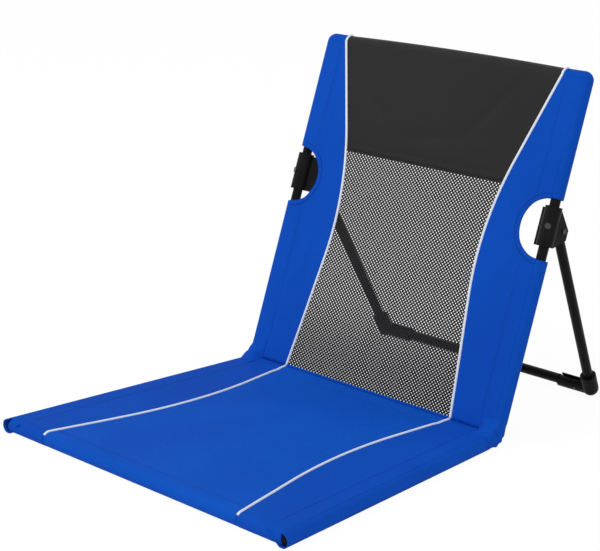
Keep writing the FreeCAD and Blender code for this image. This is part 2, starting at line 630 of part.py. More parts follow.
def sleeved(name, panel, corner, pocket_length, way, sleeve_length, more_room):
    """
    Side cloth: a flat panel, a sleeve round the side tube from its corner towards the hinge, and a pocket
    round the corner elbow. The tube, the elbow and the end of the cross bar are taken out of it.
    """
    sleeve = rod(name + "_sleeve", "sleeve_radius", sleeve_length, corner, way)
    pocket = rod(name + "_pocket", "sleeve_radius", pocket_length, corner, ACROSS * -1)
    toe = ball(name + "_toe", "sleeve_radius", corner)
    tube_room = rod(name + "_tube_room", "sleeve_bore", sleeve_length + " + cloth_start", corner, way)
    collar_room = rod(name + "_collar_room", "hem_bore", "collar_height + hem_bore_gap", corner, way)
    heel_room = ball(name + "_heel_room", "hem_bore", corner)
    trough_room = rod(name + "_trough_room", "hem_bore", "2 * front_half", corner, ACROSS * -1)
    solid = fuse(name + "_solid", [panel, sleeve, pocket, toe])
    return cut(name, solid, [tube_room, collar_room, heel_room, trough_room] + more_room)


def hem(name, half, along):
    """Sleeve of cloth round a cross bar between the two seams, as an outside and an inside."""
    outside = rod(name + "_outside", "sleeve_radius", "2 * " + half, Vector(size(half), along, 0),
                  ACROSS * -1)
    inside = rod(name + "_inside", "hem_bore", "2 * front_half", Vector(size("front_half"), along, 0),
                 ACROSS * -1)
    return outside, inside


# Seat cloth: two sides with sleeves and corner pockets, and the middle with the front hem
seat_far = size("seat_run")
seat_level = size("seat_level")
seat_corner = Vector(size("front_half"), -seat_far, 0)
seat_near_tube = size("hinge_half") + size("seat_flare") * (size("cloth_start") - size("arm_end"))
seat_panel = side_panel("seat_side_panel", SEAT_SEAM, seat_far, seat_near_tube, size("front_half"),
                        "seat_cloth", seat_level)
seat_side = sleeved("seat_side_cloth", seat_panel, seat_corner, "front_half - seat_hem_half - seam_gap",
                    SEAT_TUBE_WAY, "(seat_run - cloth_start) * seat_stretch", [])
keep_pair("seat_side", floor_cut("seat_side_flat", seat_side, SEAT))

seat_middle = middle_panel("seat_middle_panel", SEAT_SEAM, seat_far - size("hem_lap"), "seat_cloth",
                           seat_level)
seat_hem, seat_hem_room = hem("seat_hem", "seat_hem_half", -seat_far)
seat_centre = cut("seat_centre_cloth", fuse("seat_centre_solid", [seat_middle, seat_hem]), [seat_hem_room])
keep("seat_centre", floor_cut("seat_centre_flat", seat_centre, SEAT))

# Back cloth: two sides with sleeves, cut-outs and corner pockets
back_far = size("back_run")
back_corner = Vector(size("hinge_half"), back_far, 0)
back_panel = side_panel("back_side_panel", BACK_SEAM, back_far, size("hinge_half"), size("hinge_half"),
                        "cloth", size("panel_back"))
cutout = rod("back_side_cutout", "cutout_radius", "4 * sleeve_radius",
             Vector(size("hinge_half"), size("cutout_along"), -2 * size("sleeve_radius")), NORMAL)
back_side = sleeved("back_side_cloth", back_panel, back_corner, "hinge_half - back_hem_half - seam_gap",
                    ALONG * -1, "back_run - cloth_start", [cutout])
keep_pair("back_side", back_side, BACK)

# Headrest with the top hem
far_block = ("2 * hinge_half", "back_length", "4 * sleeve_radius")
half_seam = size("seam_gap") / 2
to_seam = half_seam - size("back_length") / 2
below_seam = block("below_seam", *far_block, Vector(0, size("headrest_seam") + to_seam, 0))
top_panel = middle_panel("headrest_panel", BACK_SEAM, back_far - size("hem_lap"), "cloth",
                         size("panel_back"))
top_hem, top_hem_room = hem("headrest_hem", "back_hem_half", back_far)
headrest = cut("headrest_cloth", fuse("headrest_solid", [top_panel, top_hem]), [top_hem_room, below_seam])
keep("headrest", headrest, BACK)


def mesh_gaps(seam, start, end):
    """Outlines of diamond gaps in staggered rows, as many as fit between the seams, a start and an end."""
    pitch = size("gap_across")
    row = size("gap_row")
    border = size("mesh_border") + size("seam_half")
    shrink = 1 - size("gap_strand") / (pitch * row / math.hypot(pitch, 2 * row) * 2)
    half_across = pitch / 2 * shrink
    half_along = row * shrink
    rows = int((end - start - 2 * (half_along + size("mesh_border"))) / row)
    first = (start + end - rows * row) / 2
    gaps = []
    for step in range(rows + 1):
        along = first + step * row
        room = seam.width(along) - border - half_across
        shift = pitch / 2 * (step % 2)
        reach = int((room - shift) / pitch)
        for place in range(-reach - step % 2, reach + 1):
            across = place * pitch + shift
            gaps += polygon([Vector(across + half_across, along, 0), Vector(across, along + half_along, 0),
                             Vector(across - half_across, along, 0), Vector(across, along - half_along, 0)])
    return gaps


# Open mesh below the headrest
mesh_level = (size("panel_front") + size("panel_back") - size("mesh_cloth")) / 2
gaps = mesh_gaps(BACK_SEAM, size("crease_start"), size("headrest_seam") - half_seam)
mesh_sheet = middle_panel("mesh_sheet", BACK_SEAM, back_far, "mesh_cloth", mesh_level, gaps)
above_seam = block("above_seam", *far_block, Vector(0, size("headrest_seam") - to_seam, 0))
keep("mesh_panel", cut("mesh_cut", mesh_sheet, [above_seam]), BACK)


def piping(label, seam, start, end, level, frame):
    """Round cord in a seam, swept along its line and arc."""
    path = doc.addObject("Sketcher::SketchObject", label + "_path")
    edges = seam.edges(start, end, 0)
    path.addGeometry(edges, False)
    path.Placement = Placement(NORMAL * level, Rotation())
    ring = doc.addObject("Part::Circle", label + "_ring")
    ring.setExpression("Radius", rule("piping_radius"))
    first = edges[0]
    heading = Rotation(NORMAL, first.EndPoint - first.StartPoint)
    ring.Placement = Placement(first.StartPoint + NORMAL * level, heading)
    cord = doc.addObject("Part::Sweep", label + "_cord")
    cord.Sections = [ring]
    cord.Spine = (path, ["Edge1", "Edge2", "Edge3"])
    cord.Solid = True
    keep_pair(label, cord, frame)


edge_room = size("sleeve_radius") + size("seam_gap")
piping("seat_piping", SEAT_SEAM, size("crease_start"), seat_far - edge_room,
       size("panel_front") - size("piping_radius"), SEAT)
piping("back_piping", BACK_SEAM, size("crease_start"), back_far - edge_room,
       (size("panel_front") + size("panel_back")) / 2, BACK)

# Every object has to have built, and every sub-part has to be a valid solid
doc.recompute()
for item in doc.Objects:
    if "Invalid" in item.State or "Error" in item.State:
        raise RuntimeError("%s failed: %s" % (item.Name, item.State))
for label, piece in nodes.items():
    if piece.Shape.isNull() or not piece.Shape.isValid() or not piece.Shape.Solids:
        raise RuntimeError("%s has no valid solid" % label)

os.makedirs("parts", exist_ok=True)
for label, piece in nodes.items():
    piece.Shape.exportStep(os.path.join("parts", label + ".step"))
box = Part.makeCompound([piece.Shape for piece in nodes.values()]).BoundBox
print("%d sub-parts, %.1f x %.1f x %.1f mm" % (len(nodes), box.XLength, box.YLength, box.ZLength))
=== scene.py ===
# %% [markdown]
# A folding floor lounger. Its tubes, elbows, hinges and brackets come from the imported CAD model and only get
# their finish here. The cloth is made here: a seat and a back of blue cloth with sleeves round the tubes, a
# black headrest, an open mesh panel and pale piping in the seams.

# %% Load the frame
import bpy
import json
import numpy as np
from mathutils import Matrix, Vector


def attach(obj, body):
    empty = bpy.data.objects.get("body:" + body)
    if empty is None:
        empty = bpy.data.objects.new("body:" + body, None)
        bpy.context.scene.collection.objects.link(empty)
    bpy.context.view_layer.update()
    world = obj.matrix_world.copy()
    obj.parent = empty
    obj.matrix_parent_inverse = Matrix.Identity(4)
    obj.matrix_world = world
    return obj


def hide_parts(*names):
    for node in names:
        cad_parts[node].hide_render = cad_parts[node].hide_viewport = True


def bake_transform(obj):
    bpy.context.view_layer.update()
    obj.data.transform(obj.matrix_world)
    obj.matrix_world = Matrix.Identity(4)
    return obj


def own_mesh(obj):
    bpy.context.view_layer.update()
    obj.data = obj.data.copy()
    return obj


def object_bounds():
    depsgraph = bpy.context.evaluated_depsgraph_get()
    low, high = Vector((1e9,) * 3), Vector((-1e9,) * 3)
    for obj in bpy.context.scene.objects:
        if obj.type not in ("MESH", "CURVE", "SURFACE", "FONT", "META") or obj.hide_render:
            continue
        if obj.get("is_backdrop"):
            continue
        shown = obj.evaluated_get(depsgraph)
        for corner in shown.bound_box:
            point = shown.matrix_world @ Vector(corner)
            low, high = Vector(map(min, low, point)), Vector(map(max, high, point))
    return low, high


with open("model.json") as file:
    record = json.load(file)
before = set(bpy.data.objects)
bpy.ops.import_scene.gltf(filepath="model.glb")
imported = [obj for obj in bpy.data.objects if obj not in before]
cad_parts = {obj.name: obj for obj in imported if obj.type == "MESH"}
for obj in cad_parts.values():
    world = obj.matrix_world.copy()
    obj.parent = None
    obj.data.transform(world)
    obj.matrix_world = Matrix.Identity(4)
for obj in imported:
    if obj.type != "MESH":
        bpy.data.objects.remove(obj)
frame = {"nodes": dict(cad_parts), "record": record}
cad_low, cad_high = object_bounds()
joints = {joint["name"]: joint for joint in frame["record"]["behaviour"]["joints"]}

# %% [markdown]
# The seat and the back are both flat frames that start on the line where their side tubes meet. A point on
# either is given by its distance from the middle, its distance from that line and its height over the
# axes of the tubes, so that one formula serves a panel wherever the frame puts it. The hinge pin and the
# angle of the back come from the joint of the CAD model. The cloth goes round each tube at the radius ROLL.
# The hinge pins lie a little above the cloth, so that the back can fold down flat on the seat.

# %% Frames of the seat and the back
MM = 0.001
ROLL = 10.2 * MM
PIN_RISE = ROLL + 0.3 * MM
BACK_HALF = -joints["back_fold"]["pos_m"][0]
PIN_Y, PIN_Z = joints["back_fold"]["pos_m"][1:]
BACK_ANGLE = np.radians(180 - joints["back_fold"]["range_deg"][1])
PIN_SET = PIN_RISE * np.tan(BACK_ANGLE / 2)
HINGE_Y = PIN_Y + PIN_SET
AXIS_Z = PIN_Z - PIN_RISE
SEAT_RUN = HINGE_Y - joints["width_fold"]["pos_m"][1]
bar_y, bar_z = joints["top_bar_left_end"]["pos_m"][1:]
BACK_RUN = (bar_y - HINGE_Y) * np.cos(BACK_ANGLE) + (bar_z - AXIS_Z) * np.sin(BACK_ANGLE)
FRONT_HALF = 263.0 * MM
ARM_END = PIN_SET + 14.0 * MM
CLOTH_START = ARM_END + 2.5 * MM
FLARE = (FRONT_HALF - BACK_HALF) / (SEAT_RUN - ARM_END)


def on_seat(x, out, up):
    """Seat point: x across, out forwards from the hinge line, up above the tube axes."""
    x, out, up = np.broadcast_arrays(x, out, up)
    return np.stack([x, HINGE_Y - out, AXIS_Z + up], axis=-1)


def on_back(x, out, up):
    """Back point: x across, out along the leaning back, up towards the sitter from the tube axes."""
    x, out, up = np.broadcast_arrays(x, out, up)
    c, s = np.cos(BACK_ANGLE), np.sin(BACK_ANGLE)
    return np.stack([x, HINGE_Y + out * c - up * s, AXIS_Z + out * s + up * c], axis=-1)


def seat_tube(out):
    """Distance of a seat tube from the middle: it flares evenly from the hinge to the front corner."""
    return BACK_HALF + FLARE * (np.asarray(out) - ARM_END)


def smooth_step(value):
    """Rises from 0 to 1 with no slope at either end."""
    value = np.clip(value, 0, 1)
    return value * value * (3 - 2 * value)


SEAM_FOOT = 158 * MM
BACK_WAIST = 124 * MM
BACK_WAIST_OUT = 271 * MM
BACK_SEAM_TOP = 201 * MM
BACK_BEND = 97 * MM
SEAT_WAIST = 134.5 * MM
SEAT_WAIST_OUT = 204 * MM
SEAT_SEAM_FRONT = 189 * MM
SEAT_BEND = 108 * MM


def seam(out, foot, waist, waist_out, end, end_out, bend):
    """
    Hourglass seam: two straight runs that meet at the waist, rounded there by a parabola that starts
    and ends a bend length from the waist, so that it leaves each run without a kink.
    """
    out = np.asarray(out, float)
    low = (waist - foot) / waist_out
    high = (end - waist) / (end_out - waist_out)
    share = np.clip((out - waist_out + bend) / (2 * bend), 0, 1)
    straight = waist + np.where(out < waist_out, low, high) * (out - waist_out)
    curve = waist + low * (out - waist_out) + (high - low) * bend * share * share
    return np.where(np.abs(out - waist_out) < bend, curve, straight)


def back_seam(out):
    """Distance of the back piping from the middle: narrow at the waist and widest at the top."""
    return seam(out, SEAM_FOOT, BACK_WAIST, BACK_WAIST_OUT, BACK_SEAM_TOP, BACK_RUN + ROLL, BACK_BEND)


def seat_seam(out):
    """Distance of the seat piping from the middle: narrow at the waist and widest at the front."""
    return seam(out, SEAM_FOOT, SEAT_WAIST, SEAT_WAIST_OUT, SEAT_SEAM_FRONT, SEAT_RUN + ROLL, SEAT_BEND)


BACK_HEM_HALF = back_seam(BACK_RUN)
SEAT_HEM_HALF = seat_seam(SEAT_RUN)
print("waists %.0f and %.0f mm" % (back_seam(BACK_WAIST_OUT) / MM, seat_seam(SEAT_WAIST_OUT) / MM))

# %% [markdown]
# Every surface here is a grid of points. One helper turns a grid into a mesh with a UV map in metres of
# cloth, so that a weave keeps its scale on every panel.

# %% From grids to meshes


def faces_of(rows, cols):
    """Quads between neighbours of a grid."""
    index = np.arange(rows * cols).reshape(rows, cols)
    return np.stack([index[:-1, :-1], index[:-1, 1:], index[1:, 1:], index[1:, :-1]], -1).reshape(-1, 4)


def lengths(grid, axis):
    """Distance walked along one axis of a grid, as a map coordinate."""
    step = np.linalg.norm(np.diff(grid, axis=axis), axis=-1)
    start = np.zeros_like(np.take(step, [0], axis=axis))
    return np.concatenate([start, np.cumsum(step, axis=axis)], axis=axis)


def map_of(across, along):
    """Map coordinates of a grid from its distances across and along the flat cloth."""
    return np.stack(np.broadcast_arrays(across, along), -1)


def mesh_object(name, points, faces, uv):
    """A smooth mesh at the origin from points, faces and one map coordinate for each point."""
    mesh = bpy.data.meshes.new(name)
    mesh.from_pydata(points.tolist(), [], faces.tolist())
    layer = mesh.uv_layers.new(name="cloth")
    corner = np.empty(len(mesh.loops), int)
    mesh.loops.foreach_get("vertex_index", corner)
    layer.data.foreach_set("uv", uv[corner].astype(np.float32).ravel())
    mesh.polygons.foreach_set("use_smooth", np.ones(len(mesh.polygons), bool))
    piece = bpy.data.objects.new(name, mesh)
    bpy.context.scene.collection.objects.link(piece)
    return piece


def grid_object(name, grid, uv=None, flip=False):
    """A mesh from one grid of points; flip turns its faces over."""
    faces = faces_of(*grid.shape[:2])
    if uv is None:
        uv = np.stack([lengths(grid, 1), lengths(grid, 0)], -1)
    return mesh_object(name, grid.reshape(-1, 3), faces[:, ::-1] if flip else faces, uv.reshape(-1, 2))


def face_area(piece):
    """Area of all faces of a piece, in square metres."""
    areas = np.empty(len(piece.data.polygons))
    piece.data.polygons.foreach_get("area", areas)
    return float(areas.sum())


def declare_cloth(piece, flat):
    """Print the flat rectangle, of a width and length, that a cloth piece is cut from."""
    width, length = flat
    area = min(face_area(piece), width * length)
    print("%s is cut from %.0f x %.0f mm" % (piece.name, width / MM, length / MM))


# %% [markdown]
# When the width folds, the right side slides towards the left one and the cloth between them crumples.
# Here each piece of cloth is only attached to the frame of the side that it rides on, with a mesh of
# its own, and the rolls round the side tubes stay as they are.


def fold_back(piece, side=-1):
    """Back cloth: attached to the back frame of the side that it rides on, with a mesh of its own."""
    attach(piece, "back_left" if side < 0 else "back_right")
    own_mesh(piece)
    return piece


def fold_seat(piece, side):
    """Seat cloth at one side: attached to the seat frame of that side, with a mesh of its own."""
    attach(piece, "seat_left" if side < 0 else "seat_right")
    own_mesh(piece)
    return piece


def fold_seat_middle(piece):
    """Seat cloth between the seams: attached to the left seat frame, with a mesh of its own."""
    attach(piece, "seat_left")
    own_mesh(piece)
    return piece


# %% [markdown]
# Woven cloth is two sets of threads that pass over and under each other. Two crossed band patterns on the
# cloth's own map make them, one set high where the other is low. A large soft noise shifts the shade as
# handled cloth does, and a fine one roughens the threads. Little is reflected, so the dye keeps its depth.

# %% Woven cloth
BAND_PERIOD = 0.314
FUZZ_SHARE = 0.35
SHADE_SHARE = 0.6
CLOTH = 0.9 * MM


def nodes_of(name):
    """A new material with its node tree, shader and a function that adds a node."""
    material = bpy.data.materials.new(name)
    material.use_nodes = True
    tree = material.node_tree
    shader = tree.nodes["Principled BSDF"]

    def add(kind, **settings):
        node = tree.nodes.new(kind)
        for key, value in settings.items():
            setattr(node, key, value)
        return node

    return material, tree, shader, add


def socket_values(node, **values):
    """Set inputs of a node by name; an underscore stands for a space."""
    for key, value in values.items():
        node.inputs[key.replace("_", " ")].default_value = value


def ramp_colours(node, low, high, start, end):
    """Two colours of a ramp and where they sit."""
    node.color_ramp.elements[0].color = (*low, 1)
    node.color_ramp.elements[1].color = (*high, 1)
    node.color_ramp.elements[0].position = start
    node.color_ramp.elements[1].position = end


def woven(name, dark, pale, pitch, slant, roughness, gloss, depth):
    """
    Cloth of two thread sets of one pitch in metres, turned by a slant, between a dark and a pale shade. A
    band pattern of scale 1 repeats after the band period, so the period over the pitch is its scale.
    """
    material, tree, shader, add = nodes_of(name)
    link = tree.links.new
    cloth = add("ShaderNodeTexCoord")
    turn = add("ShaderNodeMapping")
    turn.inputs["Rotation"].default_value = (0, 0, slant)
    link(cloth.outputs["UV"], turn.inputs["Vector"])
    warp = add("ShaderNodeTexWave", wave_type="BANDS", bands_direction="X")
    weft = add("ShaderNodeTexWave", wave_type="BANDS", bands_direction="Y")
    for threads in (warp, weft):
        socket_values(threads, Scale=BAND_PERIOD / pitch, Distortion=0.6, Detail=1.0, Detail_Scale=40.0)
        link(turn.outputs["Vector"], threads.inputs["Vector"])
    crossing = add("ShaderNodeMath", operation="MULTIPLY")
    link(warp.outputs["Fac"], crossing.inputs[0])
    link(weft.outputs["Fac"], crossing.inputs[1])
    fuzz = add("ShaderNodeTexNoise")
    socket_values(fuzz, Scale=1400.0, Detail=2.0, Roughness=0.6)
    link(cloth.outputs["UV"], fuzz.inputs["Vector"])
    height = add("ShaderNodeMath", operation="MULTIPLY_ADD")
    link(fuzz.outputs["Fac"], height.inputs[0])
    height.inputs[1].default_value = FUZZ_SHARE
    link(crossing.outputs["Value"], height.inputs[2])
    shade = add("ShaderNodeTexNoise")
    socket_values(shade, Scale=7.0, Detail=3.0, Roughness=0.5)
    link(cloth.outputs["Object"], shade.inputs["Vector"])
    mixed = add("ShaderNodeMath", operation="MULTIPLY_ADD")
    link(shade.outputs["Fac"], mixed.inputs[0])
    mixed.inputs[1].default_value = SHADE_SHARE
    link(crossing.outputs["Value"], mixed.inputs[2])
    colours = add("ShaderNodeValToRGB")
    ramp_colours(colours, dark, pale, 0.1, 1.0)
    link(mixed.outputs["Value"], colours.inputs["Fac"])
    bump = add("ShaderNodeBump")
    socket_values(bump, Strength=depth, Distance=0.0003)
    link(height.outputs["Value"], bump.inputs["Height"])
    link(colours.outputs["Color"], shader.inputs["Base Color"])
    link(bump.outputs["Normal"], shader.inputs["Normal"])
    socket_values(shader, Roughness=roughness, Specular_IOR_Level=gloss)
    return material


DEEP_BLUE = (0.002, 0.055, 0.40)
BRIGHT_BLUE = (0.005, 0.105, 0.64)
RIB_DEEP = (0.002, 0.064, 0.43)
RIB_BRIGHT = (0.006, 0.124, 0.70)
HEAD_DEEP = (0.005, 0.005, 0.005)
HEAD_PALE = (0.014, 0.014, 0.014)
THREAD_DEEP = (0.002, 0.045, 0.30)
THREAD_PALE = (0.006, 0.085, 0.48)
# Thread of the cut-out stitches, darker than the other thread: partly the stitches' own colour, partly painted
# shade along the raised band's edge.
EDGE_SHADE_THREAD_DEEP = (0.001, 0.02, 0.12)
EDGE_SHADE_THREAD_PALE = (0.003, 0.04, 0.24)
DEEP_BLACK = (0.006, 0.006, 0.007)
SOFT_BLACK = (0.020, 0.020, 0.021)
CORD_SHADE = (0.80, 0.87, 0.97)
CORD_WHITE = (0.95, 0.98, 1.00)
flat_weave = {"pitch": 0.9 * MM, "slant": 0.0, "roughness": 0.75, "gloss": 0.05, "depth": 0.5}
rib_weave = {"pitch": 3.0 * MM, "slant": 0.6, "roughness": 0.75, "gloss": 0.05, "depth": 1.0}
head_weave = {"pitch": 0.9 * MM, "slant": 0.0, "roughness": 0.45, "gloss": 0.15, "depth": 0.5}
thread_twist = {"pitch": 0.5 * MM, "slant": 0.5, "roughness": 0.6, "gloss": 0.15, "depth": 0.4}
cord_weave = {"pitch": 1.1 * MM, "slant": 0.7, "roughness": 0.5, "gloss": 0.3, "depth": 0.4}
net_twist = {"pitch": 0.6 * MM, "slant": 0.78, "roughness": 0.6, "gloss": 0.15, "depth": 0.5}
BLUE = woven("blue_cloth", DEEP_BLUE, BRIGHT_BLUE, **flat_weave)
RIBBED_BLUE = woven("ribbed_blue_cloth", RIB_DEEP, RIB_BRIGHT, **rib_weave)
BLACK = woven("black_cloth", HEAD_DEEP, HEAD_PALE, **head_weave)
THREAD = woven("blue_thread", THREAD_DEEP, THREAD_PALE, **thread_twist)
STITCH_AND_SHADE_THREAD = woven("dark_blue_thread", EDGE_SHADE_THREAD_DEEP, EDGE_SHADE_THREAD_PALE, **thread_twist)
BLACK_THREAD = woven("black_thread", DEEP_BLACK, SOFT_BLACK, **thread_twist)
PALE_CORD = woven("pale_piping", CORD_SHADE, CORD_WHITE, **cord_weave)
NET = woven("black_net", DEEP_BLACK, SOFT_BLACK, **net_twist)
cloths = (BLUE, RIBBED_BLUE, BLACK, THREAD, STITCH_AND_SHADE_THREAD, BLACK_THREAD, PALE_CORD, NET)
print("cloths:", [cloth.name for cloth in cloths])


def finish_cloth(piece, material, thickness=CLOTH):
    """Give a cloth piece its material, and its thickness behind the modelled face."""
    piece.data.materials.append(material)
    if thickness:
        solid = piece.modifiers.new("thickness", "SOLIDIFY")
        solid.thickness = thickness
        solid.offset = -1
    return piece


# %% [markdown]
# The seat is stretched between its two side tubes, the front bar and the crease on the hinge pins. It
# touches the top of each tube and sinks a little between them. One height formula covers the whole seat,
# so the side panels and the middle meet at the piping without a step.

# %% Seat panels
SEAT_SAG = 1.5 * MM
SEAT_WAVE = 0.5 * MM
WAVE_ACROSS = 43 * MM
WAVE_DRIFT = 110 * MM
CREASE = PIN_SET
REAR_FADE = 0.25
FRONT_FADE = 0.2
LEVEL_FADE = 0.1
FOLD_DEPTH = 0.8 * MM
FOLD_OUT = CREASE + 22 * MM
FOLD_WIDTH = 6 * MM
HINGE_STEP = 12 * MM
STEP_START = 20 * MM
STEP_RUN = 12 * MM
SEAT_ROWS = 110
SEAT_BLANK_INNER = 134 * MM


def seat_height(x, out):
    """
    Height over the tube axes: the roll radius at the tubes and the front bar, the pin height at the
    crease, less a sag that fades out with no slope at all four edges, two soft waves and a crease fold.
    """
    across = np.clip(1 - (x / seat_tube(out)) ** 2, 0, 1) ** 1.5
    share = np.clip((out - CREASE) / (SEAT_RUN - CREASE), 0, 1)
    along = smooth_step(share / REAR_FADE) * smooth_step((1 - share) / FRONT_FADE)
    level = ROLL + (PIN_RISE - ROLL) * (1 - smooth_step(share / LEVEL_FADE))
    wave = SEAT_WAVE * np.sin(x / WAVE_ACROSS + 2.0 * share) * np.sin(5.0 * share + x / WAVE_DRIFT)
    fold = FOLD_DEPTH * np.exp(-((out - FOLD_OUT) / FOLD_WIDTH) ** 2)
    return level - (SEAT_SAG + wave) * across * along - fold * np.clip(4 * across, 0, 1)


def hinge_step(out):
    """Outer edge near the hinge: stepped in past the hinge arms, then out to the tube."""
    return -HINGE_STEP * (1 - smooth_step((out - STEP_START) / STEP_RUN))


def seat_panel(name, side, columns):
    """Cloth at one side of the seat, from the seam to the tube, with its columns from left to right."""
    out = np.linspace(CREASE, SEAT_RUN, SEAT_ROWS)[:, None]
    seam_edge = side * seat_seam(out)
    tube_edge = side * (seat_tube(out) + hinge_step(out))
    left, right = (seam_edge, tube_edge) if side > 0 else (tube_edge, seam_edge)
    x = left + (right - left) * np.linspace(0, 1, columns)[None, :]
    grid = on_seat(x, out, seat_height(x, out))
    return grid_object(name, grid, map_of(x, out), flip=True)


for side, word in ((-1, "left"), (1, "right")):
    panel = seat_panel("seat_panel_" + word, side, columns=26)
    fold_seat(finish_cloth(panel, BLUE), side)
    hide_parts("seat_side_" + word)
    declare_cloth(panel, (FRONT_HALF - SEAT_BLANK_INNER, SEAT_RUN - CREASE))

# %% [markdown]
# In front the middle of the seat goes on round the front bar as a hem, and ends under it. The hem is open
# to the rear, so the bar can swing out of it when the width folds. It lies a little closer to the bar than
# the hems at its sides, so that it slips in under them.

# %% Middle of the seat
HEM_ROLL = ROLL - 0.2 * MM
HEM_TURNS = np.radians(np.linspace(90, -90, 17))[1:]
HEM_TAIL = np.linspace(0, 24.0 * MM, 7)[1:]
HEM_RISE = 0.12
FLOOR_CLEARANCE = 0.1 * MM


def hemmed(rows, run):
    """
    Rows of cloth that end on a bar, as columns: the distance out, the height over the bar's axis on its
    hem, which is nought on the rows themselves, and the flat length of cloth so far.
    """
    out = np.concatenate([rows, run + HEM_ROLL * np.cos(HEM_TURNS), run - HEM_TAIL])
    up = np.concatenate([np.zeros(len(rows)), HEM_ROLL * np.sin(HEM_TURNS), HEM_RISE * HEM_TAIL - HEM_ROLL])
    turned = run + HEM_ROLL * (np.pi / 2 - HEM_TURNS)
    flat = np.concatenate([rows, turned, run + HEM_ROLL * np.pi + HEM_TAIL])
    return out[:, None], up[:, None], flat[:, None]


rows = np.linspace(CREASE, SEAT_RUN, SEAT_ROWS)
out, hem_up, flat = hemmed(rows, SEAT_RUN)
on_panel = np.arange(len(out))[:, None] < len(rows)
half = np.where(on_panel, seat_seam(np.minimum(out, SEAT_RUN)), SEAT_HEM_HALF)
x = half * np.linspace(-1, 1, 70)[None, :]
grid = on_seat(x, out, np.where(on_panel, seat_height(x, out), hem_up))
grid[..., 2] = np.maximum(grid[..., 2], FLOOR_CLEARANCE)
middle = grid_object("seat_middle", grid, map_of(x, flat), flip=True)
fold_seat_middle(finish_cloth(middle, RIBBED_BLUE))
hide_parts("seat_centre")
declare_cloth(middle, (2 * SEAT_HEM_HALF, flat[-1, 0] - CREASE))

# %% [markdown]
# The cloth goes round each tube and back under itself, which makes a drop-shaped sleeve. Only a half
# circle on the outer side, and a flap that comes back to the panel, can be seen. That profile is carried
# along a path: up a side tube, round the corner and along the bar to the seam. At the front of the seat
# the side sleeves run straight on and end open, and the hem of the bar stops against them.

# %% Sleeves
SLEEVE_TURNS = np.radians(np.concatenate([[98], np.linspace(90, -90, 17)]))
TUCK = 0.3 * MM
FLAP = 25.0 * MM
FLAP_END = 2.4 * MM
HEM_GAP = 0.5 * MM
CORNER_RADIUS = 3.0 * MM
CUT_OUT = 41.5 * MM
CUT_ALONG = 284.5 * MM


def sleeve_profile():
    """
    Profile of a sleeve as outward and upward distances from the tube axis: a half circle from the top round
    the outside to the bottom, then a flap that rises to the back of the panel. Its first edge is tucked in
    under the panel.
    """
    outward = ROLL * np.cos(SLEEVE_TURNS)
    upward = ROLL * np.sin(SLEEVE_TURNS)
    upward[0] -= TUCK
    share = np.linspace(0.15, 1, 7)
    flap_up = -ROLL + (2 * ROLL - FLAP_END) * smooth_step(share) ** 1.2
    return np.concatenate([outward, -FLAP * share]), np.concatenate([upward, flap_up])


def corner_path(start, corner, end, radius, steps=14):
    """
    Path in the plane of a frame, as x and out: straight up to a corner, an arc of a radius there and
    straight on, with the outward direction of each point.
    """
    first = (corner - start) / np.linalg.norm(corner - start)
    second = (end - corner) / np.linalg.norm(end - corner)
    turn = np.arccos(np.clip(first @ second, -1, 1))
    back_off = radius * np.tan(turn / 2)
    outer = np.array([first[1], -first[0]])
    outer = outer if outer @ second < 0 else -outer
    angle = np.linspace(0, turn, steps)[:, None]
    spokes = np.cos(angle) * outer + np.sin(angle) * first
    arc = corner - first * back_off - outer * radius + radius * spokes
    run_in = np.linspace(start, arc[0], 60)[:-1]
    run_out = np.linspace(arc[-1], end, 16)[1:]
    before = np.tile(outer, (len(run_in), 1))
    after = np.tile(spokes[-1], (len(run_out), 1))
    outwards = np.concatenate([before, spokes, after])
    return np.concatenate([run_in, arc, run_out]), outwards


def sleeve(name, path, outwards, place, flip):
    """
    Carry the sleeve profile along a path, with one outward direction for all of it or one for each point.
    Place maps x, out and up into the frame of the seat or back. Returns the piece and its flat size.
    """
    outward, upward = sleeve_profile()
    outwards = np.broadcast_to(outwards, path.shape)
    flat = path[:, None, :] + outwards[:, None, :] * outward[None, :, None]
    grid = place(flat[..., 0], flat[..., 1], upward[None, :])
    grid[..., 2] = np.maximum(grid[..., 2], FLOOR_CLEARANCE)
    piece = grid_object(name, grid, flip=flip)
    length = np.linalg.norm(np.diff(path, axis=0), axis=1).sum()
    girth = np.hypot(np.diff(outward), np.diff(upward)).sum()
    return piece, (girth, length + np.pi / 2 * ROLL)


forwards = (0, 1)
for side, word in ((-1, "left"), (1, "right")):
    sideways = (side, 0)
    out = np.linspace(CLOTH_START, SEAT_RUN + ROLL, 70)
    path = np.stack([side * seat_tube(out), out], -1)
    piece, flat = sleeve("seat_sleeve_" + word, path, sideways, on_seat, side > 0)
    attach(finish_cloth(piece, BLUE), "seat_" + word)
    declare_cloth(piece, flat)
    across = side * np.linspace(FRONT_HALF - HEM_GAP, SEAT_HEM_HALF, 20)
    path = np.stack([across, np.full_like(across, SEAT_RUN)], -1)
    piece, flat = sleeve("front_hem_" + word, path, forwards, on_seat, side > 0)
    fold_seat(finish_cloth(piece, BLUE), side)
    declare_cloth(piece, flat)
    path = np.linspace([side * BACK_HALF, CLOTH_START], [side * BACK_HALF, CUT_ALONG - CUT_OUT], 40)
    piece, flat = sleeve("back_sleeve_low_" + word, path, sideways, on_back, side < 0)
    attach(finish_cloth(piece, BLUE), "back_" + word)
    declare_cloth(piece, flat)
    tube_foot = [side * BACK_HALF, CUT_ALONG + CUT_OUT]
    ends = np.array([tube_foot, [side * BACK_HALF, BACK_RUN], [side * BACK_HEM_HALF, BACK_RUN]])
    path, outwards = corner_path(*ends, CORNER_RADIUS)
    piece, flat = sleeve("back_sleeve_top_" + word, path, outwards, on_back, side < 0)
    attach(finish_cloth(piece, BLUE), "back_" + word)
    declare_cloth(piece, flat)

# %% [markdown]
# The back is made the same way, with round cut-outs beside the leg brackets. Rows of the grid are crowded
# where a cut-out starts and ends, because its edge runs straight across there.

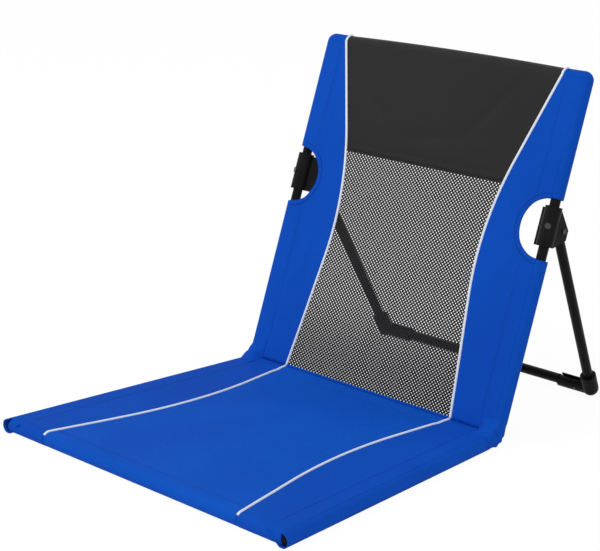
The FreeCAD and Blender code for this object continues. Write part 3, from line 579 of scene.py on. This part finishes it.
# %% Back side panels
BACK_SAG = 1.0 * MM
FOOT_FADE = 0.2
TOP_FADE = 0.15
BACK_WAVE = 0.6 * MM
WAVE_WIDTH = 5.5 * MM
EDGE_FADE = 20 * MM
BACK_BLANK_INNER = 128 * MM
HEAD_SEAM = 333.5 * MM
HEAD_FADE = 15 * MM
SEAM_FADE = 5 * MM
CREASES = ((-110, 405, -35, 1.0, 7, 45), (10, 375, 8, 0.9, 9, 90),
           (95, 425, 50, 0.9, 8, 60), (0, 342, 0, 0.8, 5, 150))


def head_creases(x, out):
    """
    Depth of the soft creases of the headrest. Each has its middle across and along the back, a slant in
    degrees, a depth, a width and a length, all lengths in millimetres. It fades as a bell curve along and
    across, and ends at the seams.
    """
    x, out = np.broadcast_arrays(x, out)
    depth = np.zeros(x.shape)
    for middle, rise, slant, deep, wide, long in CREASES:
        c, s = np.cos(np.radians(slant)), np.sin(np.radians(slant))
        along = (x / MM - middle) * c + (out / MM - rise) * s
        across = (out / MM - rise) * c - (x / MM - middle) * s
        depth = depth + deep * MM * np.exp(-(across / wide) ** 2 - (along / long) ** 2)
    inside = smooth_step((back_seam(out) - np.abs(x)) / HEAD_FADE)
    return depth * inside * smooth_step((out - HEAD_SEAM) / SEAM_FADE)


def back_height(x, out):
    """
    Height over the tube axes: the roll radius at the tubes and the top, sunk a little between them, with
    slow waves along the tubes outside the seams that never rise over the level, and the headrest's creases.
    """
    across = np.clip(1 - (x / BACK_HALF) ** 2, 0, 1) ** 1.5
    share = np.clip((out - CREASE) / (BACK_RUN - CREASE), 0, 1)
    along = smooth_step(share / FOOT_FADE) * smooth_step((1 - share) / TOP_FADE)
    level = ROLL + (PIN_RISE - ROLL) * (1 - smooth_step(share / LEVEL_FADE))
    drift = 3.0 * np.sin(5.0 * share) + 1.5 * np.sin(17.0 * share + 1.0)
    wave = BACK_WAVE * (1 + np.sin(np.abs(x) / WAVE_WIDTH + drift)) * smooth_step(8 * across) * along
    edge = smooth_step((np.abs(x) - back_seam(out)) / EDGE_FADE)
    return level - BACK_SAG * across * along - wave * edge - head_creases(x, out)


def cut_rows(count):
    """Distances along the back with rows crowded at the ends of the cut-out."""
    turn = np.sin(np.linspace(-np.pi / 2, np.pi / 2, count))
    below = np.linspace(CREASE, CUT_ALONG - CUT_OUT, count)[:-1]
    above = np.linspace(CUT_ALONG + CUT_OUT, BACK_RUN, count)[1:]
    return np.concatenate([below, CUT_ALONG + CUT_OUT * turn, above])


def back_outer(out):
    """Outer edge of a back side panel: the tube, less the round cut-out and the step at the hinge."""
    chord = np.sqrt(np.clip(CUT_OUT ** 2 - (out - CUT_ALONG) ** 2, 0, None))
    return BACK_HALF - chord + hinge_step(out)


for side, word in ((-1, "left"), (1, "right")):
    out = cut_rows(46)[:, None]
    x = side * (back_seam(out) + (back_outer(out) - back_seam(out)) * np.linspace(0, 1, 30)[None, :])
    grid = on_back(x, out, back_height(x, out))
    panel = grid_object("back_panel_" + word, grid, map_of(x, out), flip=side < 0)
    fold_back(finish_cloth(panel, BLUE), side)
    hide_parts("back_side_" + word)
    declare_cloth(panel, (BACK_HALF - BACK_BLANK_INNER, BACK_RUN - CREASE))

# %% [markdown]
# The headrest is black cloth between the seams. It goes over the top bar and hangs down behind it as a
# hem, and its top line rises a little to the middle. The open side of the hem lets the bar swing out.

# %% Headrest
CROWN = 2.5 * MM
CROWN_START = 400 * MM
CROWN_RUN = 90 * MM

rows = np.linspace(HEAD_SEAM, BACK_RUN, 50)
out, hem_up, flat = hemmed(rows, BACK_RUN)
on_panel = np.arange(len(out))[:, None] < len(rows)
half = np.where(on_panel, back_seam(np.minimum(out, BACK_RUN)), BACK_HEM_HALF)
x = half * np.linspace(-1, 1, 80)[None, :]
lift = CROWN * (1 - (x / half) ** 2) * smooth_step((out - CROWN_START) / CROWN_RUN)
grid = on_back(x, out + lift, np.where(on_panel, back_height(x, out), hem_up))
headrest = grid_object("headrest_cloth", grid, map_of(x, flat))
fold_back(finish_cloth(headrest, BLACK))
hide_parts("headrest")
declare_cloth(headrest, (2 * BACK_HEM_HALF, flat[-1, 0] - HEAD_SEAM))

# %% [markdown]
# The mesh is a knitted net of diamond holes, open enough to see through. Each hole is a ring of eight faces
# from the middle line of the threads, which stands proud, down to the edge of the hole. All rings are made
# at once from one ring and an array of centres. Towards the crease the holes are made up to a fifth smaller
# as painted shade: more black thread darkens the lower net where the shadow behind the chair falls.

# %% Open mesh
HOLE_ACROSS = 6.0 * MM
HOLE_ROW = 2.8 * MM
OPEN_SHARE = 0.39
ROUND = 0.62
# Painted shade: below these heights the holes shrink, so the lower net reads darker.
PAINTED_SHADE_SHRINK = 0.2
PAINTED_SHADE_TOP = 130 * MM
PAINTED_SHADE_RUN = 90 * MM
NET_LOW = CREASE + 2.0 * MM
NET_HIGH = HEAD_SEAM + 1.0 * MM
NET_SET = 0.4 * MM
THREAD_CREST = 0.25 * MM
HOLE_EDGE = -0.2 * MM

rows = np.arange(int(NET_LOW / HOLE_ROW), int(HEAD_SEAM / HOLE_ROW) + 2)
reach = int(SEAM_FOOT / HOLE_ACROSS) + 3
columns = np.arange(-reach, reach + 1)
row_grid, column_grid = np.meshgrid(rows, columns, indexing="ij")
centre_x = (column_grid + 0.5 * (row_grid % 2)) * HOLE_ACROSS
centre_out = row_grid * HOLE_ROW
inside = np.abs(centre_x) < back_seam(centre_out) + HOLE_ACROSS / 2
centres = np.stack([centre_x[inside], centre_out[inside]], -1)
corner_x = np.array([1, 0.5, 0, -0.5, -1, -0.5, 0, 0.5]) * HOLE_ACROSS / 2
corner_out = np.array([0, 0.5, 1, 0.5, 0, -0.5, -1, -0.5]) * HOLE_ROW
hole_x = np.array([1, ROUND, 0, -ROUND, -1, -ROUND, 0, ROUND]) * HOLE_ACROSS / 2 * OPEN_SHARE
hole_out = np.array([0, ROUND, 1, ROUND, 0, -ROUND, -1, -ROUND]) * HOLE_ROW * OPEN_SHARE
threads = np.stack([corner_x, corner_out], -1)
hole = np.stack([hole_x, hole_out], -1)
# Painted shade: the holes shrink by up to a fifth towards the crease, darkening the lower net.
shaded_hole_scale = 1 - PAINTED_SHADE_SHRINK * smooth_step((PAINTED_SHADE_TOP - centres[:, 1]) / PAINTED_SHADE_RUN)
rings = np.concatenate([np.tile(threads, (len(centres), 1, 1)), shaded_hole_scale[:, None, None] * hole], axis=1)
flat = (centres[:, None, :] + rings).reshape(-1, 2)
net_out = np.clip(flat[:, 1], NET_LOW, NET_HIGH)
net_x = np.clip(flat[:, 0], -back_seam(net_out), back_seam(net_out))
proud = np.tile(np.repeat([THREAD_CREST, HOLE_EDGE], 8), len(centres))
points = on_back(net_x, net_out, back_height(net_x, net_out) - NET_SET + proud)
eighth = np.arange(8)
quads = np.stack([eighth, (eighth + 1) % 8, 8 + (eighth + 1) % 8, 8 + eighth], -1)
faces = (np.arange(len(centres))[:, None, None] * 16 + quads[None]).reshape(-1, 4)
net = mesh_object("mesh_net", points, faces, np.stack([net_x, net_out], -1))
fold_back(finish_cloth(net, NET, thickness=0))
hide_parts("mesh_panel")
declare_cloth(net, (2 * SEAM_FOOT, HEAD_SEAM - NET_LOW))
print("mesh holes:", len(centres), "faces:", len(faces))

# %% [markdown]
# Piping is a cord in a strip of pale cloth, sewn into a seam so that only the round of it shows. It is a
# small tube carried along the seam line on the surface of the cloth. The same tube makes the bound edges of
# the cut-outs, the welt under the headrest and the roll along the crease. Round each cut-out lies a second
# layer of cloth, a narrow band that stands a little over the panel.

# %% Piping and bound edges
PIPING = 1.8 * MM
CORD_LIFT = 0.3 * MM
CORD_START = CREASE + 1.0 * MM
BINDING = 1.2 * MM
BINDING_SET = 0.5 * MM
WELT_SET = 0.3 * MM
CREASE_ROLL = 1.8 * MM
CREASE_ROLL_OUT = CREASE + 1.2 * MM
CREASE_ROLL_UP = PIN_RISE - 0.5 * MM
FACING = np.array([0.0, -0.35, 1.0])
BAND = 5.6 * MM
BAND_LIFT = np.array([0.2, 0.7, 0.7, 0.7, 0.7, 0.7, -0.2]) * MM


def tube_along(line, radius, sides=10):
    """
    Tube of a radius along a line of points: a ring of points round each one, square to the line, and a
    ring of almost no size at each end that closes it. A ring starts square to the facing direction.
    """
    way = np.gradient(line, axis=0)
    way /= np.linalg.norm(way, axis=1, keepdims=True)
    across = np.cross(way, FACING)
    across /= np.linalg.norm(across, axis=1, keepdims=True)
    above = np.cross(across, way)
    turn = np.linspace(0, -2 * np.pi, sides + 1)
    ring = np.cos(turn)[None, :, None] * across[:, None] + np.sin(turn)[None, :, None] * above[:, None]
    tube = line[:, None, :] + radius * ring
    caps = line[:, None, :] + 0.02 * radius * ring
    return np.concatenate([caps[:1], tube, caps[-1:]])


def cord_line(seam_line, height, place, run, rows, turn, side):
    """
    Line of a piping cord: along a seam on the surface from the crease to a bar, which is a run away, then
    round the bar by the angles of turn.
    """
    straight = np.linspace(CORD_START, run, rows)
    out = np.concatenate([straight, run + (ROLL + CORD_LIFT) * np.sin(turn)])
    x = side * seam_line(np.minimum(out, run))
    up = np.concatenate([height(x[:rows], straight) + CORD_LIFT, (ROLL + CORD_LIFT) * np.cos(turn)])
    return place(x, out, up)


for side, word in ((-1, "left"), (1, "right")):
    turn = np.linspace(0, np.pi / 4, 7)[1:]
    line = cord_line(seat_seam, seat_height, on_seat, SEAT_RUN, 120, turn, side)
    cord = grid_object("seat_cord_" + word, tube_along(line, PIPING))
    fold_seat(finish_cloth(cord, PALE_CORD, 0), side)
    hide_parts("seat_piping_" + word)
    turn = np.linspace(0, np.pi / 2, 12)[1:]
    line = cord_line(back_seam, back_height, on_back, BACK_RUN, 140, turn, side)
    cord = grid_object("back_cord_" + word, tube_along(line, PIPING))
    fold_back(finish_cloth(cord, PALE_CORD, 0), side)
    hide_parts("back_piping_" + word)
    turn = np.linspace(-np.pi / 2, np.pi / 2, 50)
    out = CUT_ALONG + CUT_OUT * np.sin(turn)
    x = side * (BACK_HALF - CUT_OUT * np.cos(turn))
    edge = tube_along(on_back(x, out, back_height(x, out) - BINDING_SET), BINDING)
    fold_back(finish_cloth(grid_object("cut_out_binding_" + word, edge), BLUE, 0), side)
    reach = CUT_OUT + BAND * np.linspace(0, 1, len(BAND_LIFT))[None, :]
    out = CUT_ALONG + reach * np.sin(turn)[:, None]
    x = side * (BACK_HALF - reach * np.cos(turn)[:, None])
    grid = on_back(x, out, back_height(x, out) + BAND_LIFT)
    band = grid_object("cut_out_band_" + word, grid, flip=side > 0)
    fold_back(finish_cloth(band, BLUE, 0), side)

across = np.linspace(-1, 1, 90)
x = across * back_seam(HEAD_SEAM)
welt = tube_along(on_back(x, HEAD_SEAM, back_height(x, HEAD_SEAM) - WELT_SET), BINDING)
fold_back(finish_cloth(grid_object("headrest_welt", welt), BLACK, 0))
x = across * back_seam(CREASE)
roll = tube_along(on_back(x, CREASE_ROLL_OUT, CREASE_ROLL_UP), CREASE_ROLL)
fold_back(finish_cloth(grid_object("crease_roll", roll), BLUE, 0))
print("piping, bindings and welts done")

# %% [markdown]
# Seams are sewn with short stitches that sink a little into the cloth. One stitch is a small bar, and all
# the stitches of a row are placed at once along a line on the surface.

# %% Stitches
STITCH = np.array([1.1, 0.28, 0.22]) * MM
STITCH_STEP = 3.4 * MM
STITCH_LIFT = 0.1 * MM
ROW_START = CLOTH_START + 10 * MM
HEM_ROW = 12 * MM
CUT_OUT_CLEARANCE = 4 * MM
BAND_ROW = CUT_OUT + BAND + 0.6 * MM
HEAD_ROW = HEAD_SEAM + 4.5 * MM
ROW_SHARE = 0.98


def stitches(name, place, height, x, out):
    """
    Row of stitches along a line given by x and out on the seat or back. Points are spaced evenly along the
    line, and each stitch is a bar along the line there that sinks a little into the cloth.
    """
    line = place(x, out, height(x, out) + STITCH_LIFT)
    walked = np.concatenate([[0], np.cumsum(np.linalg.norm(np.diff(line, axis=0), axis=1))])
    spots = np.arange(STITCH_STEP / 2, walked[-1] - MM, STITCH_STEP)
    centre = np.stack([np.interp(spots, walked, line[:, k]) for k in range(3)], -1)
    ahead = np.stack([np.interp(spots + MM, walked, line[:, k]) for k in range(3)], -1)
    way = (ahead - centre) / np.linalg.norm(ahead - centre, axis=1, keepdims=True)
    normal = place(0.0, 0.0, 1.0) - place(0.0, 0.0, 0.0)
    across = np.cross(normal, way)
    corner = np.array([[a, b, c] for a in (-1, 1) for b in (-1, 1) for c in (-1, 1)]) * STITCH
    points = centre[:, None] + corner[None, :, :1] * way[:, None] + corner[None, :, 1:2] * across[:, None]
    points = (points + corner[None, :, 2:] * normal).reshape(-1, 3)
    box = np.array([[0, 1, 3, 2], [4, 6, 7, 5], [0, 4, 5, 1], [2, 3, 7, 6], [0, 2, 6, 4], [1, 5, 7, 3]])
    faces = (np.arange(len(spots))[:, None, None] * 8 + box[None]).reshape(-1, 4)
    print("%s has %d stitches" % (name, len(spots)))
    return mesh_object(name, points, faces, points[:, :2])


for side, word in ((-1, "left"), (1, "right")):
    out = np.linspace(ROW_START, SEAT_RUN - HEM_ROW, 200)
    row = stitches("seat_sleeve_stitch_" + word, on_seat, seat_height, side * (seat_tube(out) - FLAP), out)
    fold_seat(finish_cloth(row, THREAD, 0), side)
    for part, low, high in (("low", ROW_START, CUT_ALONG - CUT_OUT - CUT_OUT_CLEARANCE),
                            ("top", CUT_ALONG + CUT_OUT + CUT_OUT_CLEARANCE, BACK_RUN - HEM_ROW)):
        out = np.linspace(low, high, 120)
        x = np.full_like(out, side * (BACK_HALF - FLAP))
        row = stitches("back_sleeve_stitch_%s_%s" % (part, word), on_back, back_height, x, out)
        fold_back(finish_cloth(row, THREAD, 0), side)
    turn = np.linspace(-1.5, 1.5, 80)
    out = CUT_ALONG + BAND_ROW * np.sin(turn)
    x = side * (BACK_HALF - BAND_ROW * np.cos(turn))
    row = stitches("cut_out_stitch_" + word, on_back, back_height, x, out)
    # The darker thread paints part of the shade line at the band's edge as well as the stitches.
    fold_back(finish_cloth(row, STITCH_AND_SHADE_THREAD, 0), side)
across = np.linspace(-1, 1, 200)
out = np.full_like(across, SEAT_RUN - HEM_ROW)
row = stitches("front_hem_stitch", on_seat, seat_height, ROW_SHARE * across * seat_seam(out), out)
fold_seat_middle(finish_cloth(row, THREAD, 0))
out = np.full_like(across, HEAD_ROW)
row = stitches("headrest_stitch", on_back, back_height, ROW_SHARE * across * back_seam(out), out)
fold_back(finish_cloth(row, BLACK_THREAD, 0))

# %% [markdown]
# At the hinge the cloth is gathered over the arms and the pin. A cover carries one section from the seat
# sleeve round the pin to the back sleeve. It bends between the two frames when the back folds.

# %% Hinge covers
EYE = 7.4 * MM
COVER_REACH = 26.0 * MM
COVER_LIP = 207 * MM
COVER_GAP = 0.15 * MM
LIP_SET = 0.2 * MM
RAMP_START = COVER_LIP + 1 * MM
RAMP_RUN = 13 * MM
EYE_FLAT = 3 * MM
EYE_FADE = 16 * MM
SWELL = 0.45 * MM
UNDER_RISE = 9 * MM
PUCKER = 1.1 * MM
PUCKER_WIDTH = 4.6 * MM
COVER_ROWS = 18
COVER_CLOTH = 0.7 * MM
BEND_OUT = PIN_SET + 6 * MM


def cover_grid(side):
    """
    Cover of a hinge: sections square to a line that runs along the seat, turns about the pin by the back
    angle and runs up the back. In a section the distance below the pin goes from over the eye of the
    hinge, round the outside in half an ellipse, to the bottom of the roll. Slow sine waves pucker it.
    """
    seat_run = np.linspace(COVER_REACH, 0, COVER_ROWS)
    turn = np.linspace(0, BACK_ANGLE, COVER_ROWS + 1)[1:-1]
    angle = np.concatenate([np.zeros(COVER_ROWS), turn, np.full(COVER_ROWS, BACK_ANGLE)])
    shift = np.concatenate([-seat_run, np.zeros(len(turn)), seat_run[::-1]])
    rise = 1 - smooth_step((np.abs(shift) - EYE_FLAT) / EYE_FADE)
    section = np.radians(np.linspace(90, -90, 19))
    lip = np.linspace(COVER_LIP, BACK_HALF, 9)[:-1]
    ramp = smooth_step((lip - RAMP_START) / RAMP_RUN)
    top = COVER_GAP - (EYE + COVER_GAP) * rise
    bottom = np.full_like(shift, PIN_RISE + ROLL)
    mid, half = (top + bottom) / 2, (bottom - top) / 2
    swell = (ROLL + COVER_GAP + SWELL * rise)[:, None]
    x_section = BACK_HALF + swell * np.cos(section)[None, :]
    below = mid[:, None] - half[:, None] * np.sin(section)[None, :]
    lip_below = -LIP_SET + (top[:, None] + LIP_SET) * ramp[None, :]
    under = np.linspace(BACK_HALF, COVER_LIP, 5)[1:]
    under_below = bottom[:, None] - UNDER_RISE * smooth_step(np.linspace(0.2, 1, 4))[None, :]
    x = np.concatenate([np.tile(lip, (len(rise), 1)), x_section, np.tile(under, (len(rise), 1))], axis=1)
    depth = np.concatenate([lip_below, below, under_below], axis=1)
    crease = np.sin(angle[:, None] * 11 + shift[:, None] / PUCKER_WIDTH + 2.0 * np.sin(x * 160.0))
    wrinkle = PUCKER * crease * np.sin((x - COVER_LIP) * 60.0)
    depth = depth + wrinkle * (rise[:, None] * 0.85 + 0.05)
    c, s = np.cos(angle)[:, None], np.sin(angle)[:, None]
    y = PIN_Y + shift[:, None] * c + depth * s
    z = PIN_Z + shift[:, None] * s - depth * c
    return np.stack([side * x, y, np.maximum(z, 2 * FLOOR_CLEARANCE)], -1)


for side, word in ((-1, "left"), (1, "right")):
    cover = grid_object("hinge_cover_" + word, cover_grid(side), flip=side < 0)
    finish_cloth(cover, BLUE, COVER_CLOTH)
    begin = on_seat(side * BACK_HALF, BEND_OUT, 0.0)
    end = on_back(side * BACK_HALF, BEND_OUT, 0.0)
    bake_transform(cover)
print("hinge covers done")

# %% [markdown]
# Painted steel tube has a fine orange-peel skin, and moulded nylon a finer, drier grain. Both are almost
# black, so most of what the eye reads is how broad their highlights are.

# %% Hard finishes


def grained(name, dark, pale, scale, depth, roughness, gloss, metallic=0.0):
    """Hard finish: a fine noise for the skin and a coarse one for the shade and the roughness."""
    material, tree, shader, add = nodes_of(name)
    link = tree.links.new
    place = add("ShaderNodeTexCoord")
    skin = add("ShaderNodeTexNoise")
    socket_values(skin, Scale=scale, Detail=3.0, Roughness=0.6)
    link(place.outputs["Object"], skin.inputs["Vector"])
    wear = add("ShaderNodeTexNoise")
    socket_values(wear, Scale=45.0, Detail=4.0, Roughness=0.6)
    link(place.outputs["Object"], wear.inputs["Vector"])
    colours = add("ShaderNodeValToRGB")
    ramp_colours(colours, dark, pale, 0.35, 0.75)
    link(wear.outputs["Fac"], colours.inputs["Fac"])
    spread = add("ShaderNodeMapRange")
    socket_values(spread, To_Min=roughness - 0.08, To_Max=roughness + 0.08)
    link(wear.outputs["Fac"], spread.inputs["Value"])
    bump = add("ShaderNodeBump")
    socket_values(bump, Strength=depth, Distance=0.0002)
    link(skin.outputs["Fac"], bump.inputs["Height"])
    link(colours.outputs["Color"], shader.inputs["Base Color"])
    link(spread.outputs["Result"], shader.inputs["Roughness"])
    link(bump.outputs["Normal"], shader.inputs["Normal"])
    socket_values(shader, Metallic=metallic, Specular_IOR_Level=gloss)
    return material


PAINT_DEEP = (0.003, 0.003, 0.003)
PAINT_PALE = (0.007, 0.007, 0.007)
NYLON_DEEP = (0.004, 0.004, 0.004)
NYLON_PALE = (0.009, 0.009, 0.009)
STEEL_DEEP = (0.04, 0.04, 0.042)
STEEL_PALE = (0.08, 0.08, 0.084)
paint_skin = {"scale": 900.0, "depth": 0.25, "roughness": 0.34, "gloss": 0.07}
nylon_grain = {"scale": 1500.0, "depth": 0.35, "roughness": 0.44, "gloss": 0.07}
steel_grain = {"scale": 600.0, "depth": 0.2, "roughness": 0.38, "gloss": 0.5, "metallic": 0.7}
FRAME_PAINT = grained("black_paint", PAINT_DEEP, PAINT_PALE, **paint_skin)
MOULDING = grained("black_nylon", NYLON_DEEP, NYLON_PALE, **nylon_grain)
RIVET = grained("dark_steel", STEEL_DEEP, STEEL_PALE, **steel_grain)
finishes = {"frame_paint": FRAME_PAINT, "moulding": MOULDING, "rivet": RIVET, "blue_cloth": BLUE,
            "black_cloth": BLACK, "black_mesh": NET, "piping": PALE_CORD}
for entry in frame["record"]["subparts"]:
    node = frame["nodes"][entry["node"]]
    node.data.materials.clear()
    node.data.materials.append(finishes[entry["material_slot"]])
print("finishes on", len(frame["nodes"]), "nodes")

# %% [markdown]
# The photograph has soft light from all round on a white ground. A pale floor takes a faint shadow, the
# world gives even light, and two large lamps give the cloth its slow change of shade.

# %% Floor, light and camera
FLOOR_RADIUS = 30.0
FLOOR_DROP = 0.4 * MM
FLOOR_GLOW = 1.03
GLOW_SHARE = 0.92
EVEN_LIGHT = 0.55
MIDDLE = (0, 0.05, 0.15)


def seen_rays(tree):
    """Output that is one for rays from the camera, off gloss and through clear things, else nought."""
    rays = tree.nodes.new("ShaderNodeLightPath")
    total = rays.outputs["Is Camera Ray"]
    for kind in ("Is Glossy Ray", "Is Transmission Ray"):
        either = tree.nodes.new("ShaderNodeMath")
        either.operation = "MAXIMUM"
        tree.links.new(total, either.inputs[0])
        tree.links.new(rays.outputs[kind], either.inputs[1])
        total = either.outputs["Value"]
    return total


def add_stage():
    """A wide floor disc, nearly white to the camera and plain pale paint to the light."""
    turn = np.linspace(0, 2 * np.pi, 65)[:-1]
    rim = np.stack([np.cos(turn), np.sin(turn), np.zeros_like(turn)], -1) * FLOOR_RADIUS
    rim[:, 2] -= FLOOR_DROP
    mesh = bpy.data.meshes.new("floor")
    mesh.from_pydata(rim.tolist(), [], [list(range(len(turn)))])
    floor = bpy.data.objects.new("floor", mesh)
    bpy.context.scene.collection.objects.link(floor)
    material, tree, shader, add = nodes_of("floor_paint")
    link = tree.links.new
    socket_values(shader, Base_Color=(0.9, 0.9, 0.9, 1), Roughness=0.9)
    glow = add("ShaderNodeEmission")
    socket_values(glow, Color=(1, 1, 1, 1), Strength=FLOOR_GLOW)
    share = add("ShaderNodeMath", operation="MULTIPLY")
    link(seen_rays(tree), share.inputs[0])
    share.inputs[1].default_value = GLOW_SHARE
    mix = add("ShaderNodeMixShader")
    link(share.outputs["Value"], mix.inputs["Fac"])
    link(shader.outputs["BSDF"], mix.inputs[1])
    link(glow.outputs["Emission"], mix.inputs[2])
    link(mix.outputs["Shader"], tree.nodes["Material Output"].inputs["Surface"])
    mesh.materials.append(material)
    floor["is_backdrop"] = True


def add_world():
    """White to the camera, and an even plain light for everything else."""
    world = bpy.data.worlds.new("studio")
    bpy.context.scene.world = world
    world.use_nodes = True
    tree = world.node_tree
    link = tree.links.new
    even = tree.nodes["Background"]
    socket_values(even, Color=(1, 1, 1, 1), Strength=EVEN_LIGHT)
    white = tree.nodes.new("ShaderNodeBackground")
    socket_values(white, Color=(1, 1, 1, 1), Strength=1.0)
    mix = tree.nodes.new("ShaderNodeMixShader")
    link(seen_rays(tree), mix.inputs["Fac"])
    link(even.outputs["Background"], mix.inputs[1])
    link(white.outputs["Background"], mix.inputs[2])
    link(mix.outputs["Shader"], tree.nodes["World Output"].inputs["Surface"])


def add_lamp(name, place, target, size, power):
    """Large square lamp at a place, turned to a target."""
    light = bpy.data.lights.new(name, "AREA")
    light.size = size
    light.energy = power
    lamp = bpy.data.objects.new(name, light)
    lamp.location = place
    lamp.rotation_euler = (Vector(target) - Vector(place)).to_track_quat("-Z", "Y").to_euler()
    bpy.context.scene.collection.objects.link(lamp)


def add_camera(azimuth, elevation, distance, target, lens, shift):
    """Camera at an azimuth and elevation about a target, as the photograph was taken."""
    a, e = np.radians(azimuth), np.radians(elevation)
    back = Vector((np.sin(a) * np.cos(e), -np.cos(a) * np.cos(e), np.sin(e)))
    data = bpy.data.cameras.new("camera")
    data.lens = lens
    data.sensor_width = 36.0
    data.shift_x, data.shift_y = shift
    camera = bpy.data.objects.new("camera", data)
    camera.location = Vector(target) + back * distance
    camera.rotation_euler = back.to_track_quat("Z", "Y").to_euler()
    bpy.context.scene.collection.objects.link(camera)
    bpy.context.scene.camera = camera


add_stage()
add_world()
add_lamp("key", place=(-1.2, -1.6, 2.2), target=MIDDLE, size=1.6, power=30.0)
add_lamp("fill", place=(2.2, -0.8, 1.6), target=MIDDLE, size=1.8, power=12.0)
add_camera(azimuth=45.05, elevation=16.16, distance=2.663, target=(-0.1136, 0.0673, 0.1632),
           lens=112.7, shift=(-0.0057, 0.005))
bpy.context.scene.view_settings.view_transform = "Standard"

# %% [markdown]
# The box of the dressed part is measured against that of the CAD model, its growth is printed, and the scene
# is finished.

# %% Finish
low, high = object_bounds()
grown = [round((h - l - ch + cl) / MM, 1) for l, h, cl, ch in zip(low, high, cad_low, cad_high)]
print("the box grew by", grown, "mm")
